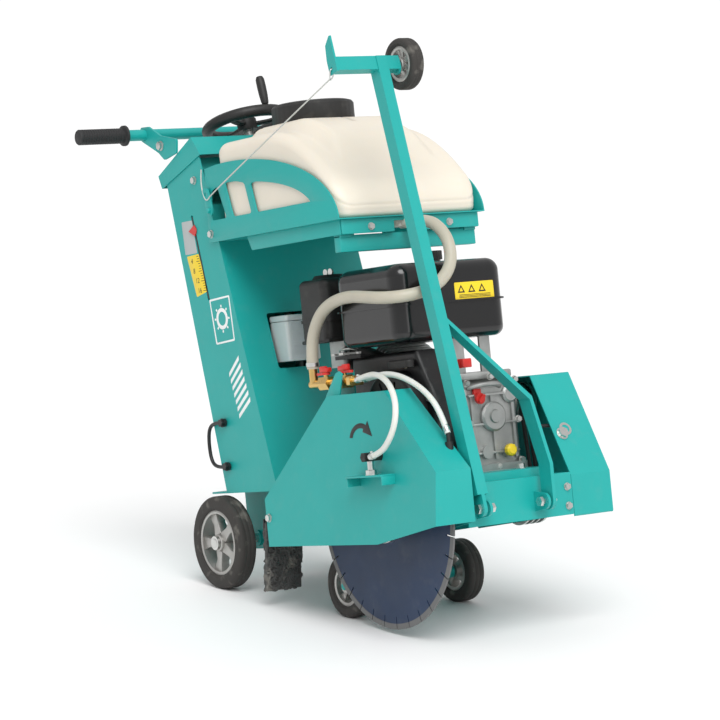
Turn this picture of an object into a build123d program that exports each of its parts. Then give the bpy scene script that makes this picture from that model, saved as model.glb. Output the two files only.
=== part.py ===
"""Walk-behind concrete saw, modelled in millimetres with +X forwards, +Y to its left and +Z up.

Everything is drawn in the chassis frame, whose origin is the centre of the rear axle and whose
deck is level. The chassis stands nose-up for transport, so each finished piece is turned by
TRANSPORT_PITCH and moved so that the origin is the middle of the footprint on the floor.
"""

import os
from math import atan2, cos, degrees, hypot, pi, radians, sin, sqrt, tan

from build123d import *

os.makedirs("parts", exist_ok=True)

# Stance
TRANSPORT_PITCH = 8.85
RUNNING_FIT = 0.05
BODY_GAP = 0.5

# Rear wheels
REAR_RADIUS = 100
REAR_WIDTH = 42
REAR_RIM_RADIUS = 70
REAR_TRACK = 361
REAR_AXLE_RADIUS = 10

# Front wheels and the swinging undercarriage that carries them
FRONT_RADIUS = 66
FRONT_WIDTH = 41
FRONT_RIM_RADIUS = 42
FRONT_TRACK = 272
FRONT_AXLE_RADIUS = 8
FRONT_AXLE_X = 411
SWING_X = 250
SWING_Z = 40
SWING_PIN_RADIUS = 10
PIN_RADIUS = 5
LEVER_SLOT = 28

# Chassis
RAIL_Y = 90
RAIL_SHEET = 5
FRAME_REAR = -40
FRAME_FRONT = 822
DECK_HALF_WIDTH = 130
DECK_TOP = 96
DECK_SHEET = 4
CROSSBAR_BOTTOM = 12
COLUMN_SEAT = 108
WHEEL_ARCH_TOP = 52

# Blade, arbor and belt drive
BLADE_RADIUS = 225
BLADE_CORE = 3.0
BLADE_SEGMENT = 3.8
SEGMENT_HEIGHT = 10
SEGMENT_COUNT = 32
BLADE_Y = -168
ARBOR_X = 606
ARBOR_Z = 42
ARBOR_RADIUS = 15
FLANGE_RADIUS = 52
FLANGE_THICK = 14
ARBOR_PULLEY_RADIUS = 52
CRANK_PULLEY_RADIUS = 40
PULLEY_Y = 182
PULLEY_WIDTH = 50
BELT_COUNT = 3
BELT_PITCH = 14

# Blade guard: its outer plate leans in towards the top
GUARD_INNER_Y = -138
GUARD_OUTER_Y = -236
GUARD_LEAN = 0.117
GUARD_SHEET = 3
GUARD_OUTLINE = [(483, 292), (686, 292), (860, 128), (860, 25), (663, -7), (267, -7), (249, 91)]
FLAP_THICK = 12
FLAP_LENGTH = 150

# Belt guard on the left
BELT_GUARD_INNER_Y = 131
BELT_GUARD_OUTER_Y = 230
BELT_GUARD_SHEET = 2.5
BELT_GUARD_OUTLINE = [(470, 150), (470, 240), (530, 294), (724, 294), (826, 90), (826, 7), (546, 7), (546, 120)]

# Steering column, a folded sheet box that leans back
COLUMN_HALF_WIDTH = 175
COLUMN_SHEET = 2.5
COLUMN_FOOT_REAR = 20
COLUMN_FOOT_FRONT = 222
COLUMN_HEAD_REAR = (-107, 790)
COLUMN_HEAD_FRONT = (36, 838)
COVER_REAR = (-134, 807)
COVER_FRONT = (16, 875)
COVER_SKIRT = 31
SLOT_LOW = (22, 525)
SLOT_HIGH = (-15, 705)
SLOT_WIDTH = 8

# Lift spindle, parallel to the middle of the column
SPINDLE_LEAN = 13
SPINDLE_RADIUS = 11
HANDWHEEL_CENTRE = (-33, 905)
HANDWHEEL_RADIUS = 88
HANDWHEEL_SECTION = 13
KNOB_RADIUS = 10
KNOB_LENGTH = 64

# Handlebar
HANDLEBAR_X = -168
HANDLEBAR_Z = 903
HANDLEBAR_RADIUS = 12.5
HANDLEBAR_HALF = 347
GRIP_LENGTH = 112
GRIP_RADIUS = 17
HANDLE_PIVOT = (-100, 871)
HANDLE_SLOT = (-56, 862)
BRACKET_SHEET = 5

# Water tank and its cradle
TANK_REAR = 124
TANK_FRONT = 555
TANK_HALF_WIDTH = 177
TANK_BOTTOM = 645
TANK_SHOULDER = 848
TANK_CROWN = 872
CROWN_HALF_WIDTH = 110
CRADLE_HALF_WIDTH = 183
CRADLE_SHEET = 3
CRADLE_FLANGE = 30
OUTLET_X = 530
OUTLET_Y = -10
OUTLET_Z = 628
LID_X = 232
LID_RADIUS = 90
LID_HEIGHT = 44

# Engine
CRANK_X = 600
CRANK_Z = 242
CRANK_RADIUS = 12.7
CRANKCASE_FRONT = 716
CRANKCASE_REAR = 500
CRANKCASE_RIGHT = -36
CRANKCASE_LEFT = 100
ENGINE_FOOT = 112
CYLINDER_TILT = 25
FUEL_TANK_FRONT = 690
FUEL_TANK_REAR = 462
FUEL_TANK_RIGHT = -150
FUEL_TANK_LEFT = 120
FUEL_TANK_BOTTOM = 382
FUEL_TANK_TOP = 540
FAN_RADIUS = 112
RECOIL_RADIUS = 88
RECOIL_FACE = -133
THROTTLE_X = 474
CHOKE_X = 430
CONTROL_Y = -110

# Guide arm, folded up against the machine
ARM_PIVOT = (856, 47)
ARM_TOP = (657, 938)
ARM_Y = -118
ARM_WIDTH = 25
ARM_DEPTH = 30
BRACE_Y = 48
BRACE_SHEET = 8
BRACE_DEPTH = 36
BRACE_JOINT_Z = 424
BRACE_BEND_Z = 254
FLAG_Y = -226
GUIDE_WHEEL_Y = -56
GUIDE_WHEEL_RADIUS = 52
GUIDE_WHEEL_WIDTH = 30
GUIDE_RIM_RADIUS = 36
GUIDE_AXLE_RADIUS = 5

# Water controls on the guard
VALVE_Y = -170
VALVE_Z = 318
VALVE_MAIN_X = 440
VALVE_JET_X = 506
JET_OUTER = (674, 166)
JET_OUTER_Y = -252
JET_INNER = (812, 186)
JET_INNER_Y = -148

# Hoses and rope, each with the points of its route
TANK_HOSE_RADIUS = 12.5
JET_HOSE_RADIUS = 6
ROPE_RADIUS = 1.5
TANK_HOSE_END = (394, -170, 350)
TANK_HOSE_ROUTE = [
    (570, -10, 628),
    (616, -10, 627),
    (660, -11, 610),
    (694, -14, 574),
    (712, -28, 528),
    (721, -66, 494),
    (722, -112, 478),
    (712, -152, 473),
    (676, -177, 474),
    (624, -180, 480),
    (566, -177, 486),
    (508, -174, 483),
    (452, -172, 466),
    (414, -171, 430),
    (396, -170, 390),
    TANK_HOSE_END,
]
JET_OUTER_ROUTE = [
    (562, -179, 318),
    (604, -184, 325),
    (658, -198, 326),
    (714, -217, 316),
    (762, -236, 296),
    (792, -250, 264),
    (792, -257, 226),
    (764, -257, 192),
    (728, -254, 172),
    (690, -252, 166),
]
JET_INNER_ROUTE = [
    (562, -161, 318),
    (604, -158, 324),
    (654, -156, 324),
    (708, -153, 308),
    (758, -150, 280),
    (794, -149, 242),
    (811, -148, 198),
]
ROPE_ROUTE = [
    (643, -228, 913),
    (110, -195, 746),
    (76, -190, 728),
    (62, -189, 748),
    (57, -188, 776),
    (62, -187, 800),
]

finished = {}


def side_plane(y):
    """A plane seen from the right: its x is forwards and its y is up."""
    return Plane(origin=(0, y, 0), x_dir=(1, 0, 0), z_dir=(0, -1, 0))


def front_plane(x):
    """A plane seen from the front: its x is to the left of the machine and its y is up."""
    return Plane(origin=(x, 0, 0), x_dir=(0, 1, 0), z_dir=(1, 0, 0))


def axis_plane(x, y, z):
    """A plane across a left-to-right shaft, with its origin on the shaft."""
    return Plane(origin=(x, y, z), x_dir=(1, 0, 0), z_dir=(0, -1, 0))


def inset(points, distance):
    """The same closed outline moved inwards, for an outline drawn clockwise."""
    moved = []
    for before, here, after in zip(points[-1:] + points[:-1], points, points[1:] + points[:1]):
        d1 = (Vector(*here) - Vector(*before)).normalized()
        d2 = (Vector(*after) - Vector(*here)).normalized()
        n1, n2 = Vector(d1.Y, -d1.X), Vector(d2.Y, -d2.X)
        bisector = n1 + n2
        shift = bisector * (distance / (1 + n1.dot(n2)))
        moved.append((here[0] + shift.X, here[1] + shift.Y))
    return moved


def keep(builder, name):
    """Label a finished piece, to be written once every piece is known."""
    builder.part.label = name
    finished[name] = builder.part


def guard_outer_y(z):
    """Where the leaning outer plate of the blade guard is at a height."""
    return GUARD_OUTER_Y + GUARD_LEAN * z


def on_line(low, high, z):
    """The x of a straight edge at a height."""
    return low[0] + (high[0] - low[0]) * (z - low[1]) / (high[1] - low[1])


# ---------------------------------------------------------------- chassis


def make_chassis():
    rail = [
        (FRAME_REAR, -24),
        (FRAME_REAR, COLUMN_SEAT - DECK_SHEET),
        (COLUMN_FOOT_FRONT + 20, COLUMN_SEAT - DECK_SHEET),
        (COLUMN_FOOT_FRONT + 28, DECK_TOP - DECK_SHEET),
        (FRAME_FRONT, DECK_TOP - DECK_SHEET),
        (FRAME_FRONT, CROSSBAR_BOTTOM),
        (560, CROSSBAR_BOTTOM - 20),
        (520, WHEEL_ARCH_TOP),
        (330, WHEEL_ARCH_TOP),
        (290, 8),
        (70, 8),
        (40, -24),
    ]
    with BuildPart() as chassis_frame:
        for side in (-1, 1):
            with BuildSketch(side_plane(side * RAIL_Y)):
                Polygon(*rail, align=None)
            extrude(amount=RAIL_SHEET / 2, both=True)
            with BuildSketch(side_plane(side * RAIL_Y)):
                with Locations((0, 0)):
                    Circle(REAR_AXLE_RADIUS + 7)
                with Locations((SWING_X, SWING_Z)):
                    Circle(SWING_PIN_RADIUS + 8)
            extrude(amount=RAIL_SHEET / 2 + 6, both=True)
        deck_length = FRAME_FRONT - COLUMN_FOOT_FRONT - 20
        with BuildSketch(Plane.XY.offset(DECK_TOP - DECK_SHEET)):
            with Locations(((FRAME_FRONT + COLUMN_FOOT_FRONT + 20) / 2, 0)):
                Rectangle(deck_length, 2 * DECK_HALF_WIDTH)
        extrude(amount=DECK_SHEET)
        seat_length = COLUMN_FOOT_FRONT + 24 - FRAME_REAR
        with BuildSketch(Plane.XY.offset(COLUMN_SEAT - DECK_SHEET)):
            with Locations((FRAME_REAR + seat_length / 2, 0)):
                Rectangle(seat_length, 2 * COLUMN_HALF_WIDTH)
            with Locations((160, 0)):
                Rectangle(90, 60, mode=Mode.SUBTRACT)
        extrude(amount=DECK_SHEET)
        with BuildSketch(front_plane(COLUMN_FOOT_FRONT + 20)):
            with Locations((0, (COLUMN_SEAT + DECK_TOP) / 2 - DECK_SHEET / 2)):
                Rectangle(2 * COLUMN_HALF_WIDTH, COLUMN_SEAT - DECK_TOP + DECK_SHEET)
        extrude(amount=DECK_SHEET)
        with BuildSketch(front_plane(FRAME_FRONT)):
            with Locations((0, (CROSSBAR_BOTTOM + DECK_TOP) / 2)):
                RectangleRounded(2 * DECK_HALF_WIDTH, DECK_TOP - CROSSBAR_BOTTOM, 3)
        extrude(amount=DECK_SHEET)
        with BuildSketch(front_plane(FRAME_REAR)):
            with Locations((0, COLUMN_SEAT / 2 - 14)):
                Rectangle(2 * RAIL_Y, COLUMN_SEAT + 20)
        extrude(amount=DECK_SHEET)
        for y, width in ((ARM_Y + 13, 6), (BRACE_Y - 11, 6)):
            with BuildSketch(side_plane(y)):
                with BuildLine():
                    Polyline(
                        (FRAME_FRONT + 2, ARM_PIVOT[1] + 20),
                        (ARM_PIVOT[0], ARM_PIVOT[1] + 16),
                    )
                    CenterArc(ARM_PIVOT, 16, 90, -180)
                    Polyline(
                        (ARM_PIVOT[0], ARM_PIVOT[1] - 16),
                        (FRAME_FRONT + 2, ARM_PIVOT[1] - 20),
                        (FRAME_FRONT + 2, ARM_PIVOT[1] + 20),
                    )
                make_face()
            extrude(amount=width / 2, both=True)
        # Bores for the rear axle, the swing pin, the arbor bearings and the arm pivots
        for x, z, radius in (
            (0, 0, REAR_AXLE_RADIUS),
            (SWING_X, SWING_Z, SWING_PIN_RADIUS),
            (ARBOR_X, ARBOR_Z, 27),
        ):
            with BuildSketch(side_plane(0)):
                with Locations((x, z)):
                    Circle(radius)
            extrude(amount=2 * RAIL_Y, both=True, mode=Mode.SUBTRACT)
        with BuildSketch(side_plane(0)):
            with Locations(ARM_PIVOT):
                Circle(6)
        extrude(amount=2 * RAIL_Y, both=True, mode=Mode.SUBTRACT)
    keep(chassis_frame, "chassis_frame")

    with BuildPart() as engine_base_plate:
        with BuildSketch(Plane.XY.offset(DECK_TOP)):
            with Locations((640, -12)):
                RectangleRounded(330, 220, 8)
            with Locations((540, -75), (540, 55), (700, -75), (700, 55)):
                SlotOverall(40, 11, mode=Mode.SUBTRACT)
        extrude(amount=ENGINE_FOOT - DECK_TOP)
    keep(engine_base_plate, "engine_base_plate")


# ---------------------------------------------------------------- wheels


def wheel_set(name, place, radius, width, rim_radius, bore, spokes):
    """A cast rim with spokes and a solid tyre, turning on a left-to-right axle."""
    hub_radius = bore + 8
    lip = rim_radius - 5
    half = width / 2
    with BuildPart() as rim:
        with BuildSketch(Plane(origin=place, x_dir=(1, 0, 0), z_dir=(0, 0, 1))):
            with Locations(((rim_radius + lip) / 2, 0)):
                Rectangle(rim_radius - lip, width - 8)
            with Locations(((hub_radius + bore) / 2, 0)):
                Rectangle(hub_radius - bore, width - 4)
            with Locations(((hub_radius + lip) / 2, 0)):
                Rectangle(lip - hub_radius, 4)
        revolve(axis=Axis(place, (0, 1, 0)))
        across = axis_plane(*place)
        with BuildSketch(across.offset(half - 7)):
            with PolarLocations((hub_radius + lip) / 2, spokes):
                Rectangle(lip - hub_radius + 3, 11)
        extrude(amount=-(width - 14))
        with BuildSketch(across):
            with PolarLocations((hub_radius + lip) / 2 + 1, spokes, start_angle=180 / spokes):
                Circle((lip - hub_radius) * 0.34)
        extrude(amount=half, both=True, mode=Mode.SUBTRACT)
    keep(rim, name + "_rim")
    with BuildPart() as tyre:
        with BuildSketch(Plane(origin=place, x_dir=(1, 0, 0), z_dir=(0, 0, 1))):
            with Locations(((rim_radius + radius) / 2, 0)):
                tread = Rectangle(radius - rim_radius, width)
            fillet(tread.vertices().group_by(Axis.X)[-1], min(9, (radius - rim_radius) * 0.4))
        revolve(axis=Axis(place, (0, 1, 0)))
    keep(tyre, name + "_tyre")


def shaft(x, z, y_low, y_high, radius):
    """A plain left-to-right shaft with chamfered ends, to be added to a piece."""
    with BuildPart() as pin:
        with BuildSketch(axis_plane(x, y_low, z)):
            Circle(radius)
        extrude(amount=-(y_high - y_low))
        chamfer(pin.edges().filter_by(GeomType.CIRCLE), min(1.5, radius / 4))
    return pin.part


def make_wheels():
    for side, word in ((-1, "right"), (1, "left")):
        place = (0, side * REAR_TRACK / 2, 0)
        wheel_set("rear_" + word, place, REAR_RADIUS, REAR_WIDTH, REAR_RIM_RADIUS,
                  REAR_AXLE_RADIUS + RUNNING_FIT, 5)
        place = (FRONT_AXLE_X, side * FRONT_TRACK / 2, front_axle_z())
        wheel_set("front_" + word, place, FRONT_RADIUS, FRONT_WIDTH, FRONT_RIM_RADIUS,
                  FRONT_AXLE_RADIUS + RUNNING_FIT, 4)
    rear_end = REAR_TRACK / 2 + REAR_WIDTH / 2 + 6
    rear_axle = shaft(0, 0, -rear_end, rear_end, REAR_AXLE_RADIUS)
    swing_pin = shaft(SWING_X, SWING_Z, -RAIL_Y - 14, RAIL_Y + 14, SWING_PIN_RADIUS)
    with BuildPart() as fixed_axles:
        add(rear_axle)
        add(swing_pin)
        for side in (-1, 1):
            outer = side * (REAR_TRACK / 2 + REAR_WIDTH / 2 - 1.5)
            inner = side * (REAR_TRACK / 2 - REAR_WIDTH / 2 + 1.5)
            for face, way in ((outer, side), (inner, -side)):
                with BuildSketch(Plane(origin=(0, face, 0), x_dir=(1, 0, 0), z_dir=(0, way, 0))):
                    Circle(REAR_AXLE_RADIUS + 5)
                extrude(amount=6)
    keep(fixed_axles, "fixed_axles")


def front_axle_z():
    """The front axle's height in the chassis frame, with all four wheels on the floor."""
    pitch = radians(TRANSPORT_PITCH)
    return (FRONT_RADIUS - REAR_RADIUS - FRONT_AXLE_X * sin(pitch)) / cos(pitch)


def make_undercarriage():
    """Swinging frame: a pivot tube, two trailing arms, an axle tube and the lift lever."""
    axle = (FRONT_AXLE_X, front_axle_z())
    arm_y = 66
    front_end = FRONT_TRACK / 2 + FRONT_WIDTH / 2 + 3
    front_axle = shaft(axle[0], axle[1], -front_end, front_end, FRONT_AXLE_RADIUS)
    with BuildPart() as undercarriage:
        with BuildSketch(axis_plane(SWING_X, 0, SWING_Z)):
            Circle(SWING_PIN_RADIUS + 7)
        extrude(amount=RAIL_Y - 12, both=True)
        with BuildSketch(axis_plane(axle[0], 0, axle[1])):
            Circle(FRONT_AXLE_RADIUS + 6)
        extrude(amount=FRONT_TRACK / 2 - FRONT_WIDTH / 2 - 1, both=True)
        angle = degrees(atan2(axle[1] - SWING_Z, axle[0] - SWING_X))
        length = hypot(axle[0] - SWING_X, axle[1] - SWING_Z)
        middle = ((SWING_X + axle[0]) / 2, (SWING_Z + axle[1]) / 2)
        for side in (-1, 1):
            with BuildSketch(side_plane(side * arm_y)):
                with Locations(Location((middle[0], middle[1], 0), (0, 0, angle))):
                    SlotCenterToCenter(length, 2 * FRONT_AXLE_RADIUS + 14)
            extrude(amount=4, both=True)
        # Lever that the lift nut's pin pushes, slotted along its length
        pin = spindle_plane(-spindle_foot()).origin
        reach = hypot(SWING_X - pin.X, SWING_Z - pin.Z)
        heading = degrees(atan2(pin.Z - SWING_Z, pin.X - SWING_X))
        with BuildSketch(side_plane(0)):
            with Locations(Location((SWING_X, SWING_Z, 0), (0, 0, heading))):
                with Locations(((reach + 18) / 2, 0)):
                    SlotOverall(reach + 18 + 34, 34)
                with Locations((reach, 0)):
                    SlotOverall(LEVER_SLOT, 2 * PIN_RADIUS + 1.6, mode=Mode.SUBTRACT)
        extrude(amount=5, both=True)
        with BuildSketch(axis_plane(SWING_X, 0, SWING_Z)):
            Circle(SWING_PIN_RADIUS + RUNNING_FIT)
        extrude(amount=RAIL_Y, both=True, mode=Mode.SUBTRACT)
        add(front_axle)
    keep(undercarriage, "undercarriage")


# ---------------------------------------------------------------- blade and drive


def make_blade():
    with BuildPart() as saw_blade:
        with BuildSketch(axis_plane(ARBOR_X, BLADE_Y, ARBOR_Z)):
            Circle(BLADE_RADIUS - SEGMENT_HEIGHT)
            Circle(ARBOR_RADIUS - 2, mode=Mode.SUBTRACT)
            with PolarLocations(BLADE_RADIUS - SEGMENT_HEIGHT - 7, SEGMENT_COUNT):
                SlotOverall(16, 3, mode=Mode.SUBTRACT)
        extrude(amount=BLADE_CORE / 2, both=True)
        with BuildSketch(axis_plane(ARBOR_X, BLADE_Y, ARBOR_Z)):
            Circle(BLADE_RADIUS)
            Circle(BLADE_RADIUS - SEGMENT_HEIGHT - 0.5, mode=Mode.SUBTRACT)
            with PolarLocations(BLADE_RADIUS, SEGMENT_COUNT):
                Rectangle(2 * SEGMENT_HEIGHT + 4, 3, mode=Mode.SUBTRACT)
        extrude(amount=BLADE_SEGMENT / 2, both=True)
    keep(saw_blade, "saw_blade")

    blade_in = BLADE_Y + BLADE_CORE / 2
    blade_out = BLADE_Y - BLADE_CORE / 2
    with BuildPart() as outer_flange:
        with BuildSketch(axis_plane(ARBOR_X, blade_out, ARBOR_Z)):
            Circle(FLANGE_RADIUS)
        extrude(amount=FLANGE_THICK)
        chamfer(outer_flange.edges().filter_by(GeomType.CIRCLE).group_by(Axis.Y)[0], 3)
        with BuildSketch(axis_plane(ARBOR_X, blade_out, ARBOR_Z)):
            Circle(ARBOR_RADIUS - 2)
        extrude(amount=FLANGE_THICK, mode=Mode.SUBTRACT)
        # Nut of the arbor, a separate solid against the flange
        nut_face = blade_out - FLANGE_THICK - 0.05
        with BuildSketch(axis_plane(ARBOR_X, nut_face, ARBOR_Z)):
            RegularPolygon(22, 6)
            Circle(ARBOR_RADIUS - 2, mode=Mode.SUBTRACT)
        extrude(amount=14)
    keep(outer_flange, "outer_flange")
    arbor_pulley = pulley(ARBOR_X, ARBOR_Z, ARBOR_PULLEY_RADIUS)
    with BuildPart() as arbor_shaft:
        add(arbor_pulley)
        with BuildSketch(axis_plane(ARBOR_X, blade_in, ARBOR_Z)):
            Circle(FLANGE_RADIUS)
        extrude(amount=-FLANGE_THICK)
        with BuildSketch(axis_plane(ARBOR_X, blade_in, ARBOR_Z)):
            Circle(ARBOR_RADIUS)
        extrude(amount=-(PULLEY_Y + PULLEY_WIDTH / 2 - blade_in))
        with BuildSketch(axis_plane(ARBOR_X, blade_in, ARBOR_Z)):
            Circle(ARBOR_RADIUS - 2)
        extrude(amount=blade_in - nut_face + 18)
    keep(arbor_shaft, "arbor_shaft")
    with BuildPart() as arbor_bearings:
        for side in (-1, 1):
            near = side * (RAIL_Y - RAIL_SHEET / 2 - 14)
            with BuildSketch(Plane(origin=(0, near, 0), x_dir=(1, 0, 0), z_dir=(0, -1, 0))):
                with Locations((ARBOR_X, ARBOR_Z)):
                    RectangleRounded(86, 66, 12)
            extrude(amount=-side * 14)
            with BuildSketch(Plane(origin=(0, near, 0), x_dir=(1, 0, 0), z_dir=(0, -1, 0))):
                with Locations((ARBOR_X, ARBOR_Z)):
                    Circle(27)
            extrude(amount=-side * 26)
        with BuildSketch(side_plane(0)):
            with Locations((ARBOR_X, ARBOR_Z)):
                Circle(ARBOR_RADIUS + RUNNING_FIT)
        extrude(amount=2 * RAIL_Y, both=True, mode=Mode.SUBTRACT)
    keep(arbor_bearings, "arbor_bearings")


def pulley(x, z, radius):
    """A V-belt pulley with one groove for each belt, to be added to its shaft."""
    with BuildPart() as wheel:
        with BuildSketch(axis_plane(x, PULLEY_Y - PULLEY_WIDTH / 2, z)):
            Circle(radius)
        extrude(amount=-PULLEY_WIDTH)
        for index in range(BELT_COUNT):
            y = PULLEY_Y + (index - (BELT_COUNT - 1) / 2) * BELT_PITCH
            with BuildSketch(Plane(origin=(x, y, z), x_dir=(1, 0, 0), z_dir=(0, 0, 1))):
                Polygon((radius + 1, -5.5), (radius + 1, 5.5), (radius - 9, 3), (radius - 9, -3), align=None)
            revolve(axis=Axis((x, y, z), (0, 1, 0)), mode=Mode.SUBTRACT)
    return wheel.part


def make_drive():
    span = hypot(CRANK_X - ARBOR_X, CRANK_Z - ARBOR_Z)
    heading = degrees(atan2(CRANK_Z - ARBOR_Z, CRANK_X - ARBOR_X))
    low, high = ARBOR_PULLEY_RADIUS - 7.6, CRANK_PULLEY_RADIUS - 7.6
    spread = degrees(atan2(low - high, sqrt(span**2 - (low - high) ** 2)))
    with BuildPart() as drive_belts:
        for index in range(BELT_COUNT):
            y = PULLEY_Y + (index - (BELT_COUNT - 1) / 2) * BELT_PITCH
            with BuildSketch(side_plane(y)):
                for grow, mode in ((6.4, Mode.ADD), (0, Mode.SUBTRACT)):
                    with BuildLine():
                        ends = []
                        for centre, radius in (((ARBOR_X, ARBOR_Z), low + grow), ((CRANK_X, CRANK_Z), high + grow)):
                            for turn in (90 - spread, -90 + spread):
                                angle = radians(heading + turn)
                                ends.append((centre[0] + radius * cos(angle), centre[1] + radius * sin(angle)))
                        arbor_left, arbor_right, crank_left, crank_right = ends
                        Line(arbor_left, crank_left)
                        away = radians(heading)
                        crown = (CRANK_X + (high + grow) * cos(away), CRANK_Z + (high + grow) * sin(away))
                        ThreePointArc(crank_left, crown, crank_right)
                        Line(crank_right, arbor_right)
                        heel = (ARBOR_X - (low + grow) * cos(away), ARBOR_Z - (low + grow) * sin(away))
                        ThreePointArc(arbor_right, heel, arbor_left)
                    make_face(mode=mode)
            extrude(amount=2.6, both=True)
    keep(drive_belts, "drive_belts")


# ---------------------------------------------------------------- guards


def make_guards():
    depth = GUARD_INNER_Y - GUARD_OUTER_Y + 4
    with BuildPart() as blade_guard:
        with BuildSketch(side_plane(GUARD_INNER_Y)):
            Polygon(*GUARD_OUTLINE, align=None)
        extrude(amount=depth)
        cutter = Plane(origin=(0, GUARD_OUTER_Y, 0), x_dir=(1, 0, 0), z_dir=(0, 1, -GUARD_LEAN))
        split(bisect_by=cutter, keep=Keep.TOP)
        under = [f for f in blade_guard.faces() if f.normal_at().Z < -0.9]
        offset(amount=-GUARD_SHEET, openings=under)
        # Openings in the inner plate for the arbor and for the front wheel as the saw is lowered
        with BuildSketch(side_plane(GUARD_INNER_Y)):
            with Locations((ARBOR_X, ARBOR_Z)):
                Circle(30)
            with Locations((428, 40)):
                Rectangle(212, 120)
        extrude(amount=GUARD_SHEET + 1, both=True, mode=Mode.SUBTRACT)
        # Spacer plates that carry the guard on the right-hand rail
        for x in (575, 790):
            with BuildSketch(side_plane(-DECK_HALF_WIDTH - 0.5)):
                with Locations((x, DECK_TOP - 16)):
                    Rectangle(30, 40)
            extrude(amount=-GUARD_INNER_Y - DECK_HALF_WIDTH - 0.5)
        # Upright plate that the water valves are clipped to
        with BuildSketch(side_plane(VALVE_Y + 17)):
            Polygon((446, 262), (446, 336), (516, 340), (516, 290), (483, 290), align=None)
        extrude(amount=1.5, both=True)
    keep(blade_guard, "blade_guard")

    with BuildPart() as guard_flap:
        pitch = radians(TRANSPORT_PITCH)
        rear = (252, 44)
        down = (-sin(pitch), -cos(pitch))
        with BuildSketch(side_plane(GUARD_INNER_Y - 1)):
            back = (-FLAP_THICK * cos(pitch), FLAP_THICK * sin(pitch))
            tip = (rear[0] + down[0] * FLAP_LENGTH, rear[1] + down[1] * FLAP_LENGTH)
            Polygon(
                rear,
                (rear[0] + back[0], rear[1] + back[1]),
                (tip[0] + back[0], tip[1] + back[1]),
                tip,
                align=None,
            )
        extrude(amount=GUARD_INNER_Y - guard_outer_y(44) - 2)
    keep(guard_flap, "guard_flap")

    low = BELT_GUARD_OUTLINE[5][1]
    with BuildPart() as belt_guard:
        with BuildSketch(side_plane(BELT_GUARD_OUTER_Y)):
            Polygon(*BELT_GUARD_OUTLINE, align=None)
        extrude(amount=BELT_GUARD_OUTER_Y - BELT_GUARD_INNER_Y)
        fillet(belt_guard.edges().filter_by(Axis.Y), 4)
        # The hollow is open towards the frame and underneath
        room = inset(BELT_GUARD_OUTLINE, BELT_GUARD_SHEET)
        with BuildSketch(side_plane(BELT_GUARD_OUTER_Y - BELT_GUARD_SHEET)):
            Polygon(*room, align=None)
            Polygon(
                room[5],
                (room[5][0], low - 1),
                (room[6][0], low - 1),
                room[6],
                align=None,
            )
        extrude(amount=BELT_GUARD_OUTER_Y - BELT_GUARD_INNER_Y, mode=Mode.SUBTRACT)
    keep(belt_guard, "belt_guard")


# ---------------------------------------------------------------- column, console, handlebar


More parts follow.
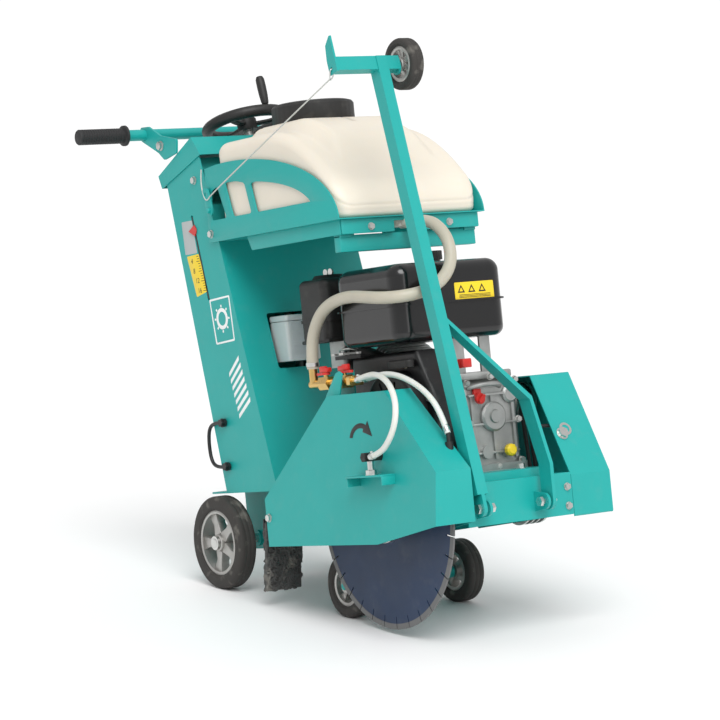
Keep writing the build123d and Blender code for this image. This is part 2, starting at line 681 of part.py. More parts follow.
def make_column():
    outline = [
        (COLUMN_FOOT_REAR, COLUMN_SEAT),
        COLUMN_HEAD_REAR,
        COLUMN_HEAD_FRONT,
        (COLUMN_FOOT_FRONT, COLUMN_SEAT),
    ]
    rear_run = Vector(COLUMN_HEAD_REAR[0] - COLUMN_FOOT_REAR, COLUMN_HEAD_REAR[1] - COLUMN_SEAT)
    length = rear_run.length
    along = rear_run.normalized()
    with BuildPart() as column_shell:
        with BuildSketch(side_plane(COLUMN_HALF_WIDTH)):
            Polygon(*outline, align=None)
        extrude(amount=2 * COLUMN_HALF_WIDTH)
        hollow = [
            (COLUMN_FOOT_REAR - 30, COLUMN_SEAT - 1),
            (COLUMN_HEAD_REAR[0] - 30, COLUMN_HEAD_REAR[1] + 12),
            (COLUMN_HEAD_FRONT[0] - COLUMN_SHEET, COLUMN_HEAD_FRONT[1] + 12),
            (COLUMN_FOOT_FRONT - COLUMN_SHEET, COLUMN_SEAT - 1),
        ]
        with BuildSketch(side_plane(COLUMN_HALF_WIDTH - COLUMN_SHEET)):
            Polygon(*hollow, align=None)
        extrude(amount=2 * (COLUMN_HALF_WIDTH - COLUMN_SHEET), mode=Mode.SUBTRACT)
        # Window in the front face, behind the tool box
        with BuildSketch(front_plane(0)):
            with Locations((-52, 420)):
                RectangleRounded(96, 120, 6)
        extrude(amount=260, mode=Mode.SUBTRACT)
        # Slot that the depth pointer runs in
        run = hypot(SLOT_HIGH[0] - SLOT_LOW[0], SLOT_HIGH[1] - SLOT_LOW[1])
        angle = degrees(atan2(SLOT_HIGH[1] - SLOT_LOW[1], SLOT_HIGH[0] - SLOT_LOW[0]))
        middle = ((SLOT_HIGH[0] + SLOT_LOW[0]) / 2, (SLOT_HIGH[1] + SLOT_LOW[1]) / 2)
        with BuildSketch(side_plane(-COLUMN_HALF_WIDTH)):
            with Locations(Location((middle[0], middle[1], 0), (0, 0, angle))):
                SlotCenterToCenter(run, SLOT_WIDTH)
        extrude(amount=2 * COLUMN_SHEET, both=True, mode=Mode.SUBTRACT)
        # Bearing block under the console that the lift spindle turns in
        with BuildSketch(spindle_plane(-84)):
            Rectangle(60, 2 * COLUMN_HALF_WIDTH - 2)
            Circle(SPINDLE_RADIUS + RUNNING_FIT, mode=Mode.SUBTRACT)
        extrude(amount=-28)
        # Rear panel, a separate sheet screwed in between the sides
        inward = Vector(along.Y, -along.X)
        base = Vector(COLUMN_FOOT_REAR, COLUMN_SEAT) + along * 6
        points = []
        for step, reach in ((0, BODY_GAP), (length - 20, BODY_GAP), (length - 20, 3), (0, 3)):
            spot = base + along * step + inward * reach
            points.append((spot.X, spot.Y))
        with BuildSketch(side_plane(COLUMN_HALF_WIDTH - COLUMN_SHEET - BODY_GAP)):
            Polygon(*points, align=None)
        extrude(amount=2 * (COLUMN_HALF_WIDTH - COLUMN_SHEET - BODY_GAP))
    keep(column_shell, "column_shell")

    slope = Vector(COVER_FRONT[0] - COVER_REAR[0], COVER_FRONT[1] - COVER_REAR[1]).normalized()
    down = Vector(slope.Y, -slope.X)
    outer = [
        COVER_REAR,
        COVER_FRONT,
        (COVER_FRONT[0] + 32, COVER_FRONT[1] - COVER_SKIRT - 10),
        (COVER_REAR[0] + down.X * COVER_SKIRT - 2, COVER_REAR[1] + down.Y * COVER_SKIRT),
    ]
    inner = [
        (COVER_REAR[0] + 3 + slope.X * 3, COVER_REAR[1] - 3 + slope.Y * 3),
        (COVER_FRONT[0] - 2.5, COVER_FRONT[1] - 3.6),
        (COVER_FRONT[0] + 30, COVER_FRONT[1] - COVER_SKIRT - 12),
        (COVER_REAR[0] + down.X * COVER_SKIRT + 2, COVER_REAR[1] + down.Y * (COVER_SKIRT + 18)),
    ]
    with BuildPart() as console_cover:
        with BuildSketch(side_plane(COLUMN_HALF_WIDTH + BODY_GAP + 2.5)):
            Polygon(*outer, align=None)
        extrude(amount=2 * (COLUMN_HALF_WIDTH + BODY_GAP + 2.5))
        with BuildSketch(side_plane(COLUMN_HALF_WIDTH + BODY_GAP)):
            Polygon(*inner, align=None)
        extrude(amount=2 * (COLUMN_HALF_WIDTH + BODY_GAP), mode=Mode.SUBTRACT)
        with BuildSketch(spindle_plane(0)):
            Circle(SPINDLE_RADIUS + 8)
        extrude(amount=-200, mode=Mode.SUBTRACT)
    keep(console_cover, "console_cover")


def spindle_plane(distance):
    """A plane across the lift spindle, a distance up its axis from the handwheel."""
    lean = radians(SPINDLE_LEAN)
    up = (-sin(lean), 0, cos(lean))
    origin = (HANDWHEEL_CENTRE[0] + up[0] * distance, 0, HANDWHEEL_CENTRE[1] + up[2] * distance)
    return Plane(origin=origin, x_dir=(cos(lean), 0, sin(lean)), z_dir=up)


def spindle_foot():
    """How far down its axis from the handwheel the spindle meets the lever's pin."""
    return (HANDWHEEL_CENTRE[1] - (SWING_Z + 10)) / cos(radians(SPINDLE_LEAN))


def make_lift():
    foot = spindle_foot()
    screw_end = foot - 190
    with BuildPart() as lift_screw:
        with BuildSketch(spindle_plane(12)):
            Circle(SPINDLE_RADIUS)
        extrude(amount=-(screw_end + 12))
        with BuildSketch(spindle_plane(-78)):
            Circle(SPINDLE_RADIUS + 6)
        extrude(amount=-5)
        with BuildSketch(spindle_plane(-112.6)):
            Circle(SPINDLE_RADIUS + 6)
        extrude(amount=-5)
    keep(lift_screw, "lift_screw")

    with BuildPart() as lift_nut:
        with BuildSketch(spindle_plane(-(screw_end - 110))):
            RectangleRounded(48, 48, 6)
            Circle(SPINDLE_RADIUS + RUNNING_FIT, mode=Mode.SUBTRACT)
        extrude(amount=-46)
        for side in (-1, 1):
            with BuildSketch(spindle_plane(-(screw_end - 110) - 30)):
                with Locations((0, side * 19)):
                    Rectangle(26, 8)
            extrude(amount=-(foot - screw_end + 110 - 30 + 12))
        pin = spindle_plane(-foot).origin
        with BuildSketch(axis_plane(pin.X, 0, pin.Z)):
            Circle(PIN_RADIUS)
        extrude(amount=22, both=True)
    keep(lift_nut, "lift_nut")


def make_handwheel():
    plane = spindle_plane(0)
    axis = Axis(plane.origin, plane.z_dir)
    section = Plane(origin=plane.origin, x_dir=plane.x_dir, z_dir=(0, -1, 0))
    with BuildPart() as handwheel:
        with BuildSketch(section):
            with Locations((HANDWHEEL_RADIUS, 0)):
                Circle(HANDWHEEL_SECTION)
        revolve(axis=axis)
        with BuildSketch(plane.offset(-16)):
            Circle(SPINDLE_RADIUS + 11)
        extrude(amount=26)
        with BuildSketch(plane.offset(-5)):
            with PolarLocations((HANDWHEEL_RADIUS + SPINDLE_RADIUS) / 2, 3, start_angle=60):
                Rectangle(HANDWHEEL_RADIUS - SPINDLE_RADIUS - 6, 20)
        extrude(amount=9)
        with BuildSketch(plane.offset(-30)):
            Circle(SPINDLE_RADIUS)
        extrude(amount=60, mode=Mode.SUBTRACT)
        with BuildSketch(plane.offset(-20)):
            with Locations((HANDWHEEL_RADIUS, 0)):
                Circle(4 + RUNNING_FIT)
        extrude(amount=60, mode=Mode.SUBTRACT)
    keep(handwheel, "handwheel")

    with BuildPart() as handwheel_knob:
        with BuildSketch(plane.offset(HANDWHEEL_SECTION + 1)):
            with Locations((HANDWHEEL_RADIUS, 0)):
                Circle(KNOB_RADIUS)
        extrude(amount=KNOB_LENGTH, taper=1)
        with BuildSketch(plane.offset(HANDWHEEL_SECTION + 1)):
            with Locations((HANDWHEEL_RADIUS, 0)):
                Circle(4)
        extrude(amount=-(HANDWHEEL_SECTION + 12))
    keep(handwheel_knob, "handwheel_knob")


def make_handlebar():
    bracket_y = COLUMN_HALF_WIDTH + BODY_GAP + 2.5 + 1
    with BuildPart() as handlebar:
        with BuildSketch(axis_plane(HANDLEBAR_X, 0, HANDLEBAR_Z)):
            Circle(HANDLEBAR_RADIUS)
            Circle(HANDLEBAR_RADIUS - 2, mode=Mode.SUBTRACT)
        extrude(amount=HANDLEBAR_HALF, both=True)
        for side in (-1, 1):
            face = side * (bracket_y + BRACKET_SHEET / 2)
            with BuildSketch(side_plane(face)):
                plate = Polygon(
                    (HANDLEBAR_X - 14, HANDLEBAR_Z + 18),
                    (HANDLEBAR_X + 20, HANDLEBAR_Z + 16),
                    (HANDLE_PIVOT[0], HANDLE_PIVOT[1] + 22),
                    (HANDLE_SLOT[0] + 22, HANDLE_SLOT[1] + 16),
                    (HANDLE_SLOT[0] + 16, HANDLE_SLOT[1] - 14),
                    (HANDLE_PIVOT[0] + 8, HANDLE_PIVOT[1] - 32),
                    (HANDLE_PIVOT[0] - 14, HANDLE_PIVOT[1] - 14),
                    (HANDLEBAR_X - 14, HANDLEBAR_Z - 12),
                    align=None,
                )
                fillet(plate.vertices(), 6)
                with Locations((HANDLEBAR_X, HANDLEBAR_Z)):
                    Circle(HANDLEBAR_RADIUS - 2, mode=Mode.SUBTRACT)
                with Locations(HANDLE_PIVOT):
                    Circle(5 + RUNNING_FIT, mode=Mode.SUBTRACT)
            extrude(amount=BRACKET_SHEET / 2, both=True)
    keep(handlebar, "handlebar")

    with BuildPart() as handlebar_grips:
        for side in (-1, 1):
            end = side * (HANDLEBAR_HALF + 3)
            start = Plane(origin=(HANDLEBAR_X, end, HANDLEBAR_Z), x_dir=(1, 0, 0), z_dir=(0, -side, 0))
            with BuildSketch(start):
                Circle(GRIP_RADIUS)
            extrude(amount=GRIP_LENGTH)
            with BuildSketch(start.offset(GRIP_LENGTH)):
                Circle(GRIP_RADIUS + 6)
            extrude(amount=8)
            with BuildSketch(start.offset(3)):
                Circle(HANDLEBAR_RADIUS)
            extrude(amount=GRIP_LENGTH + 10, mode=Mode.SUBTRACT)
    keep(handlebar_grips, "handlebar_grips")


# ---------------------------------------------------------------- water tank


def make_tank():
    outline = [
        (TANK_REAR, TANK_BOTTOM),
        (TANK_REAR, TANK_SHOULDER),
        (300, TANK_SHOULDER + 8),
        (400, 818),
        (520, 740),
        (TANK_FRONT, 690),
        (TANK_FRONT, TANK_BOTTOM),
    ]
    with BuildPart() as crown:
        with BuildSketch(side_plane(CROWN_HALF_WIDTH)):
            Polygon(
                (165, 780),
                (165, TANK_CROWN),
                (330, TANK_CROWN),
                (480, 800),
                (480, 740),
                align=None,
            )
        extrude(amount=2 * CROWN_HALF_WIDTH)
        fillet(crown.edges().filter_by(lambda e: e.center().Z > TANK_CROWN - 40 and e.center().X < 400), 12)
    with BuildPart() as water_tank:
        with BuildSketch(side_plane(TANK_HALF_WIDTH)):
            body = Polygon(*outline, align=None)
            corners = [v for v in body.vertices() if v.Z > TANK_BOTTOM + 5]
            fillet(corners, 30)
        extrude(amount=2 * TANK_HALF_WIDTH)
        sides = water_tank.faces().filter_by(Axis.Y)
        rounded = sides.edges().filter_by(lambda e: e.center().Z > TANK_BOTTOM + 1)
        fillet(rounded, 22)
        add(crown.part)
        with BuildSketch(Plane.XY.offset(TANK_CROWN - 20)):
            with Locations((LID_X, 0)):
                Circle(LID_RADIUS - 14)
        extrude(amount=20 + 24)
        with BuildSketch(Plane.XY.offset(TANK_BOTTOM + 4)):
            with Locations((LID_X, 0)):
                Circle(LID_RADIUS - 18)
        extrude(amount=300, mode=Mode.SUBTRACT)
        # Outlet under the front of the tank, turned forwards
        with BuildSketch(Plane.XY.offset(OUTLET_Z - 6)):
            with Locations((OUTLET_X, OUTLET_Y)):
                Circle(14)
        extrude(amount=TANK_BOTTOM + 6 - OUTLET_Z)
        with BuildSketch(front_plane(OUTLET_X)):
            with Locations((OUTLET_Y, OUTLET_Z)):
                Circle(TANK_HOSE_RADIUS - 2)
        extrude(amount=38)
    keep(water_tank, "water_tank")

    with BuildPart() as tank_lid:
        with BuildSketch(Plane.XY.offset(TANK_CROWN + 0.6)):
            with Locations((LID_X, 0)):
                Circle(LID_RADIUS)
        extrude(amount=LID_HEIGHT)
        fillet(tank_lid.edges().group_by(Axis.Z)[-1], 8)
        with BuildSketch(Plane.XY.offset(TANK_CROWN + 0.6)):
            with Locations((LID_X, 0)):
                Circle(LID_RADIUS - 13)
        extrude(amount=LID_HEIGHT - 12, mode=Mode.SUBTRACT)
    keep(tank_lid, "tank_lid")

    floor_rear = on_line((COLUMN_FOOT_FRONT, COLUMN_SEAT), COLUMN_HEAD_FRONT, TANK_BOTTOM - 4) + 2
    side = [
        (60, TANK_BOTTOM - CRADLE_SHEET),
        (67, 800),
        (200, 806),
        (290, 790),
        (400, 755),
        (500, 705),
        (548, 675),
        (TANK_FRONT + 4, TANK_BOTTOM - CRADLE_SHEET),
    ]
    with BuildPart() as tank_cradle:
        floor_length = TANK_FRONT + 4 - floor_rear
        with BuildSketch(Plane.XY.offset(TANK_BOTTOM - CRADLE_SHEET)):
            with Locations(((TANK_FRONT + 4 + floor_rear) / 2, 0)):
                Rectangle(floor_length, 2 * CRADLE_HALF_WIDTH)
            with Locations((OUTLET_X, OUTLET_Y)):
                Circle(18, mode=Mode.SUBTRACT)
        extrude(amount=CRADLE_SHEET - 0.5)
        for y in (-CRADLE_HALF_WIDTH + CRADLE_SHEET / 2, CRADLE_HALF_WIDTH - CRADLE_SHEET / 2):
            with BuildSketch(side_plane(y)):
                Polygon(*side, align=None)
                windows = [
                    [(88, 672), (96, 768), (120, 768), (150, 672)],
                    [(172, 672), (136, 768), (196, 776), (232, 672)],
                    [(254, 672), (220, 776), (290, 764), (390, 728), (470, 684), (470, 672)],
                ]
                for window in windows:
                    Polygon(*window, align=None, mode=Mode.SUBTRACT)
            extrude(amount=CRADLE_SHEET / 2, both=True)
            side_sign = 1 if y > 0 else -1
            with BuildSketch(side_plane(side_sign * (CRADLE_HALF_WIDTH - 12))):
                Polygon(
                    (floor_rear + 10, TANK_BOTTOM - CRADLE_SHEET - CRADLE_FLANGE),
                    (floor_rear, TANK_BOTTOM - CRADLE_SHEET),
                    (TANK_FRONT - 6, TANK_BOTTOM - CRADLE_SHEET),
                    (TANK_FRONT - 6, TANK_BOTTOM - CRADLE_SHEET - CRADLE_FLANGE),
                    align=None,
                )
            extrude(amount=CRADLE_SHEET / 2, both=True)
        with BuildSketch(front_plane(TANK_FRONT - 8)):
            with Locations((0, TANK_BOTTOM - CRADLE_SHEET - CRADLE_FLANGE / 2)):
                Rectangle(2 * (CRADLE_HALF_WIDTH - 12), CRADLE_FLANGE)
            with Locations((OUTLET_Y, TANK_BOTTOM - CRADLE_SHEET - CRADLE_FLANGE / 2)):
                Rectangle(60, CRADLE_FLANGE, mode=Mode.SUBTRACT)
        extrude(amount=CRADLE_SHEET)
        with BuildSketch(front_plane(TANK_FRONT - 40)):
            with Locations((0, TANK_BOTTOM - CRADLE_SHEET - CRADLE_FLANGE - 11)):
                Rectangle(2 * (CRADLE_HALF_WIDTH - 14), 24)
        extrude(amount=22)
        # Cleat plate for the rope, bolted to the right-hand side
        with BuildSketch(side_plane(-CRADLE_HALF_WIDTH)):
            with Locations(Location((74, 731, 0), (0, 0, 104))):
                SlotOverall(66, 24)
                with Locations((-14, 0)):
                    Circle(4, mode=Mode.SUBTRACT)
        extrude(amount=2.5)
    keep(tank_cradle, "tank_cradle")


# ---------------------------------------------------------------- engine


def make_engine():
    tilt = radians(CYLINDER_TILT)
    bore_axis = Plane(
        origin=(CRANK_X, 32, CRANK_Z),
        x_dir=(0, 1, 0),
        z_dir=(-cos(tilt), 0, sin(tilt)),
    )
    start = 126
    with BuildPart() as crankcase:
        with BuildSketch(Plane.XY.offset(ENGINE_FOOT)):
            with Locations(((CRANKCASE_FRONT + CRANKCASE_REAR) / 2, (CRANKCASE_LEFT + CRANKCASE_RIGHT) / 2)):
                Rectangle(CRANKCASE_FRONT - CRANKCASE_REAR, CRANKCASE_LEFT - CRANKCASE_RIGHT)
        extrude(amount=200)
        top = crankcase.edges().filter_by(Axis.Y).group_by(Axis.Z)[-1]
        chamfer(top, 34)
        fillet(crankcase.edges().filter_by(Axis.Z), 12)
        with BuildSketch(Plane.XY.offset(ENGINE_FOOT)):
            with Locations((CRANK_X + 8, (CRANKCASE_LEFT + CRANKCASE_RIGHT) / 2)):
                RectangleRounded(CRANKCASE_FRONT - CRANKCASE_REAR + 26, CRANKCASE_LEFT - CRANKCASE_RIGHT + 12, 10)
        extrude(amount=14)
        with BuildSketch(axis_plane(CRANK_X, CRANKCASE_LEFT, CRANK_Z)):
            Circle(58)
        extrude(amount=-12)
        with BuildSketch(bore_axis.offset(50)):
            Circle(58)
        extrude(amount=start - 50)
        # Ribs and plugs on the front wall
        for y in (-18, 32, 82):
            with BuildSketch(front_plane(CRANKCASE_FRONT)):
                with Locations((y, 200)):
                    Rectangle(6, 130)
            extrude(amount=6)
        with BuildSketch(front_plane(CRANKCASE_FRONT)):
            with Locations((8, 150), (60, 150)):
                Circle(13)
        extrude(amount=10)
        with BuildSketch(axis_plane(CRANK_X, 0, CRANK_Z)):
            Circle(CRANK_RADIUS + 4 + RUNNING_FIT)
        extrude(amount=300, both=True, mode=Mode.SUBTRACT)
        # Brackets that carry the fuel tank
        for x, y, foot in ((652, 10, 296), (652, 76, 296), (512, 70, 296)):
            with BuildSketch(front_plane(x)):
                with Locations((y, (foot + FUEL_TANK_BOTTOM) / 2)):
                    Rectangle(26, FUEL_TANK_BOTTOM - foot)
            extrude(amount=5)
    keep(crankcase, "crankcase")

    with BuildPart() as cylinder:
        with BuildSketch(bore_axis.offset(start + 0.3)):
            Circle(50)
        extrude(amount=66)
        for index in range(7):
            with BuildSketch(bore_axis.offset(start + 6 + index * 9)):
                RectangleRounded(126, 118, 16)
            extrude(amount=3)
        with BuildSketch(bore_axis.offset(start + 66.6)):
            RectangleRounded(116, 108, 14)
        extrude(amount=26)
        for index in range(3):
            with BuildSketch(bore_axis.offset(start + 70 + index * 8)):
                RectangleRounded(128, 120, 16)
            extrude(amount=3)
        with BuildSketch(bore_axis.offset(start + 92.8)):
            RectangleRounded(104, 78, 14)
        extrude(amount=24)
        # Spark plug and its cap
        with BuildSketch(side_plane(32 - 54)):
            with Locations((CRANK_X - 204 * cos(tilt), CRANK_Z + 204 * sin(tilt))):
                Circle(9)
        extrude(amount=26)
    keep(cylinder, "cylinder")

    fan_back = CRANKCASE_RIGHT - BODY_GAP
    with BuildPart() as fan_housing:
        with BuildSketch(side_plane(fan_back)):
            with Locations((CRANK_X, CRANK_Z)):
                Circle(FAN_RADIUS)
            Polygon(
                (CRANK_X - 180, 290),
                (CRANK_X - 165, 366),
                (CRANK_X + 60, 366),
                (CRANK_X + 95, 300),
                (CRANK_X - 60, 180),
                align=None,
            )
        extrude(amount=64)
        fillet(fan_housing.edges().group_by(Axis.Y)[0], 10)
        with BuildSketch(side_plane(fan_back)):
            with Locations((CRANK_X, CRANK_Z)):
                Circle(FAN_RADIUS - 16)
        extrude(amount=58, mode=Mode.SUBTRACT)
        with BuildSketch(side_plane(fan_back)):
            with Locations((CRANK_X, CRANK_Z)):
                Circle(RECOIL_RADIUS - 14)
        extrude(amount=80, mode=Mode.SUBTRACT)
        # Ledge and pins of the two control levers
        with BuildSketch(side_plane(-101)):
            with Locations((452, 367)):
                Rectangle(92, 8)
        extrude(amount=20)
        with BuildSketch(Plane.XY.offset(365.7)):
            with Locations((THROTTLE_X, CONTROL_Y), (CHOKE_X, CONTROL_Y)):
                Circle(3)
        extrude(amount=14)
    keep(fan_housing, "fan_housing")

    housing_face = fan_back - 64
    with BuildPart() as recoil_cover:
        with BuildSketch(side_plane(housing_face - 0.2)):
            with Locations((CRANK_X, CRANK_Z)):
                Circle(RECOIL_RADIUS)
        extrude(amount=housing_face - 0.2 - RECOIL_FACE)
        fillet(recoil_cover.edges().group_by(Axis.Y)[0], 10)
        with BuildSketch(side_plane(housing_face - 0.2)):
            with Locations((CRANK_X, CRANK_Z)):
                Circle(RECOIL_RADIUS - 4)
        extrude(amount=housing_face - RECOIL_FACE - 4, mode=Mode.SUBTRACT)
        with BuildSketch(side_plane(0)):
            with Locations((CRANK_X, CRANK_Z)):
                with PolarLocations(58, 16):
                    SlotOverall(26, 7)
        extrude(amount=200, mode=Mode.SUBTRACT)
    keep(recoil_cover, "recoil_cover")

    grip_top = CRANK_Z + RECOIL_RADIUS
    with BuildPart() as recoil_grip:
        with BuildSketch(Plane.XY.offset(grip_top + 4)):
            with Locations((CRANK_X + 34, (housing_face + RECOIL_FACE) / 2 - 1)):
                SlotOverall(74, 20)
        extrude(amount=16)
        fillet(recoil_grip.edges().group_by(Axis.Z)[-1], 5)
    keep(recoil_grip, "recoil_grip")

    crank_pulley = pulley(CRANK_X, CRANK_Z, CRANK_PULLEY_RADIUS)
    with BuildPart() as crankshaft:
        add(crank_pulley)
        with BuildSketch(axis_plane(CRANK_X, RECOIL_FACE + 14, CRANK_Z)):
            Circle(CRANK_RADIUS)
        extrude(amount=-(PULLEY_Y + PULLEY_WIDTH / 2 - RECOIL_FACE - 14))
        with BuildSketch(axis_plane(CRANK_X, CRANKCASE_RIGHT, CRANK_Z)):
            Circle(CRANK_RADIUS + 4)
        extrude(amount=-(CRANKCASE_LEFT - CRANKCASE_RIGHT + 20))
        with BuildSketch(axis_plane(CRANK_X, fan_back - 8, CRANK_Z)):
            Circle(RECOIL_RADIUS - 18)
        extrude(amount=34)
    keep(crankshaft, "crankshaft")

    with BuildPart() as fuel_tank:
        with BuildSketch(Plane.XY.offset(FUEL_TANK_BOTTOM)):
            with Locations(((FUEL_TANK_FRONT + FUEL_TANK_REAR) / 2, (FUEL_TANK_LEFT + FUEL_TANK_RIGHT) / 2)):
                RectangleRounded(FUEL_TANK_FRONT - FUEL_TANK_REAR, FUEL_TANK_LEFT - FUEL_TANK_RIGHT, 34)
        extrude(amount=FUEL_TANK_TOP - FUEL_TANK_BOTTOM)
        fillet(fuel_tank.edges().group_by(Axis.Z)[-1], 26)
        fillet(fuel_tank.edges().group_by(Axis.Z)[0], 20)
        seam = (FUEL_TANK_BOTTOM + FUEL_TANK_TOP) / 2 - 6
        with BuildSketch(Plane.XY.offset(seam)):
            with Locations(((FUEL_TANK_FRONT + FUEL_TANK_REAR) / 2, (FUEL_TANK_LEFT + FUEL_TANK_RIGHT) / 2)):
                RectangleRounded(FUEL_TANK_FRONT - FUEL_TANK_REAR + 12, FUEL_TANK_LEFT - FUEL_TANK_RIGHT + 12, 38)
        extrude(amount=4)
        with BuildSketch(Plane.XY.offset(FUEL_TANK_TOP - 4)):
            with Locations((582, 12)):
                Circle(24)
        extrude(amount=10)
    keep(fuel_tank, "fuel_tank")
    with BuildPart() as fuel_cap:
        with BuildSketch(Plane.XY.offset(FUEL_TANK_TOP + 6.4)):
            with Locations((582, 12)):
                Circle(28)
                with PolarLocations(29, 24):
                    Circle(2.2, mode=Mode.SUBTRACT)
        extrude(amount=18)
        fillet(fuel_cap.faces().sort_by(Axis.Z)[-1].edges(), 1)
    keep(fuel_cap, "fuel_cap")

    with BuildPart() as air_cleaner:
        with BuildSketch(Plane.XY.offset(402)):
            with Locations((350, -80)):
                RectangleRounded(102, 100, 18)
        extrude(amount=132)
        fillet(air_cleaner.edges().group_by(Axis.Z)[-1], 12)
        with BuildSketch(Plane.XY.offset(446)):
            with Locations((350, -80)):
                RectangleRounded(108, 106, 20)
        extrude(amount=6)
    keep(air_cleaner, "air_cleaner")
    with BuildPart() as carburettor:
        with BuildSketch(Plane.XY.offset(348)):
            with Locations((386, -78)):
                RectangleRounded(56, 50, 8)
        extrude(amount=53.5)
        with BuildSketch(front_plane(408)):
            with Locations((-78, 372)):
                Circle(22)
        extrude(amount=6)
        with BuildSketch(Plane.XY.offset(322)):
            with Locations((386, -78)):
                Circle(22)
        extrude(amount=28)
    keep(carburettor, "carburettor")
    with BuildPart() as muffler:
        with BuildSketch(Plane.XY.offset(412)):
            with Locations((366, 52)):
                RectangleRounded(112, 130, 24)
        extrude(amount=88)
        fillet(muffler.edges().group_by(Axis.Z)[-1], 12)
        fillet(muffler.edges().group_by(Axis.Z)[0], 12)
        with BuildSketch(Plane.XY.offset(404)):
            with Locations((392, 42)):
                Circle(15)
        extrude(amount=16)
    keep(muffler, "muffler")

    levers = (("throttle_lever", THROTTLE_X, 40), ("choke_lever", CHOKE_X, 30))
    for name, x, reach in levers:
        place = (x, CONTROL_Y, 372)
        with BuildPart() as lever:
            with BuildSketch(Plane.XY.offset(place[2])):
                with Locations((place[0], place[1])):
                    Circle(7)
                with Locations((place[0], place[1] - reach / 2)):
                    Rectangle(7, reach)
                with Locations((place[0], place[1] - reach)):
                    Circle(6)
                with Locations((place[0], place[1])):
                    Circle(3 + RUNNING_FIT, mode=Mode.SUBTRACT)
            extrude(amount=4)
        keep(lever, name)


# ---------------------------------------------------------------- guide arm


def arm_plane():
    """Plane along the arm: x across its depth and z up it from the pivot."""
    lean = atan2(ARM_PIVOT[0] - ARM_TOP[0], ARM_TOP[1] - ARM_PIVOT[1])
    return Plane(
        origin=(ARM_PIVOT[0], ARM_Y, ARM_PIVOT[1]),
        x_dir=(cos(lean), 0, sin(lean)),
        z_dir=(-sin(lean), 0, cos(lean)),
    )


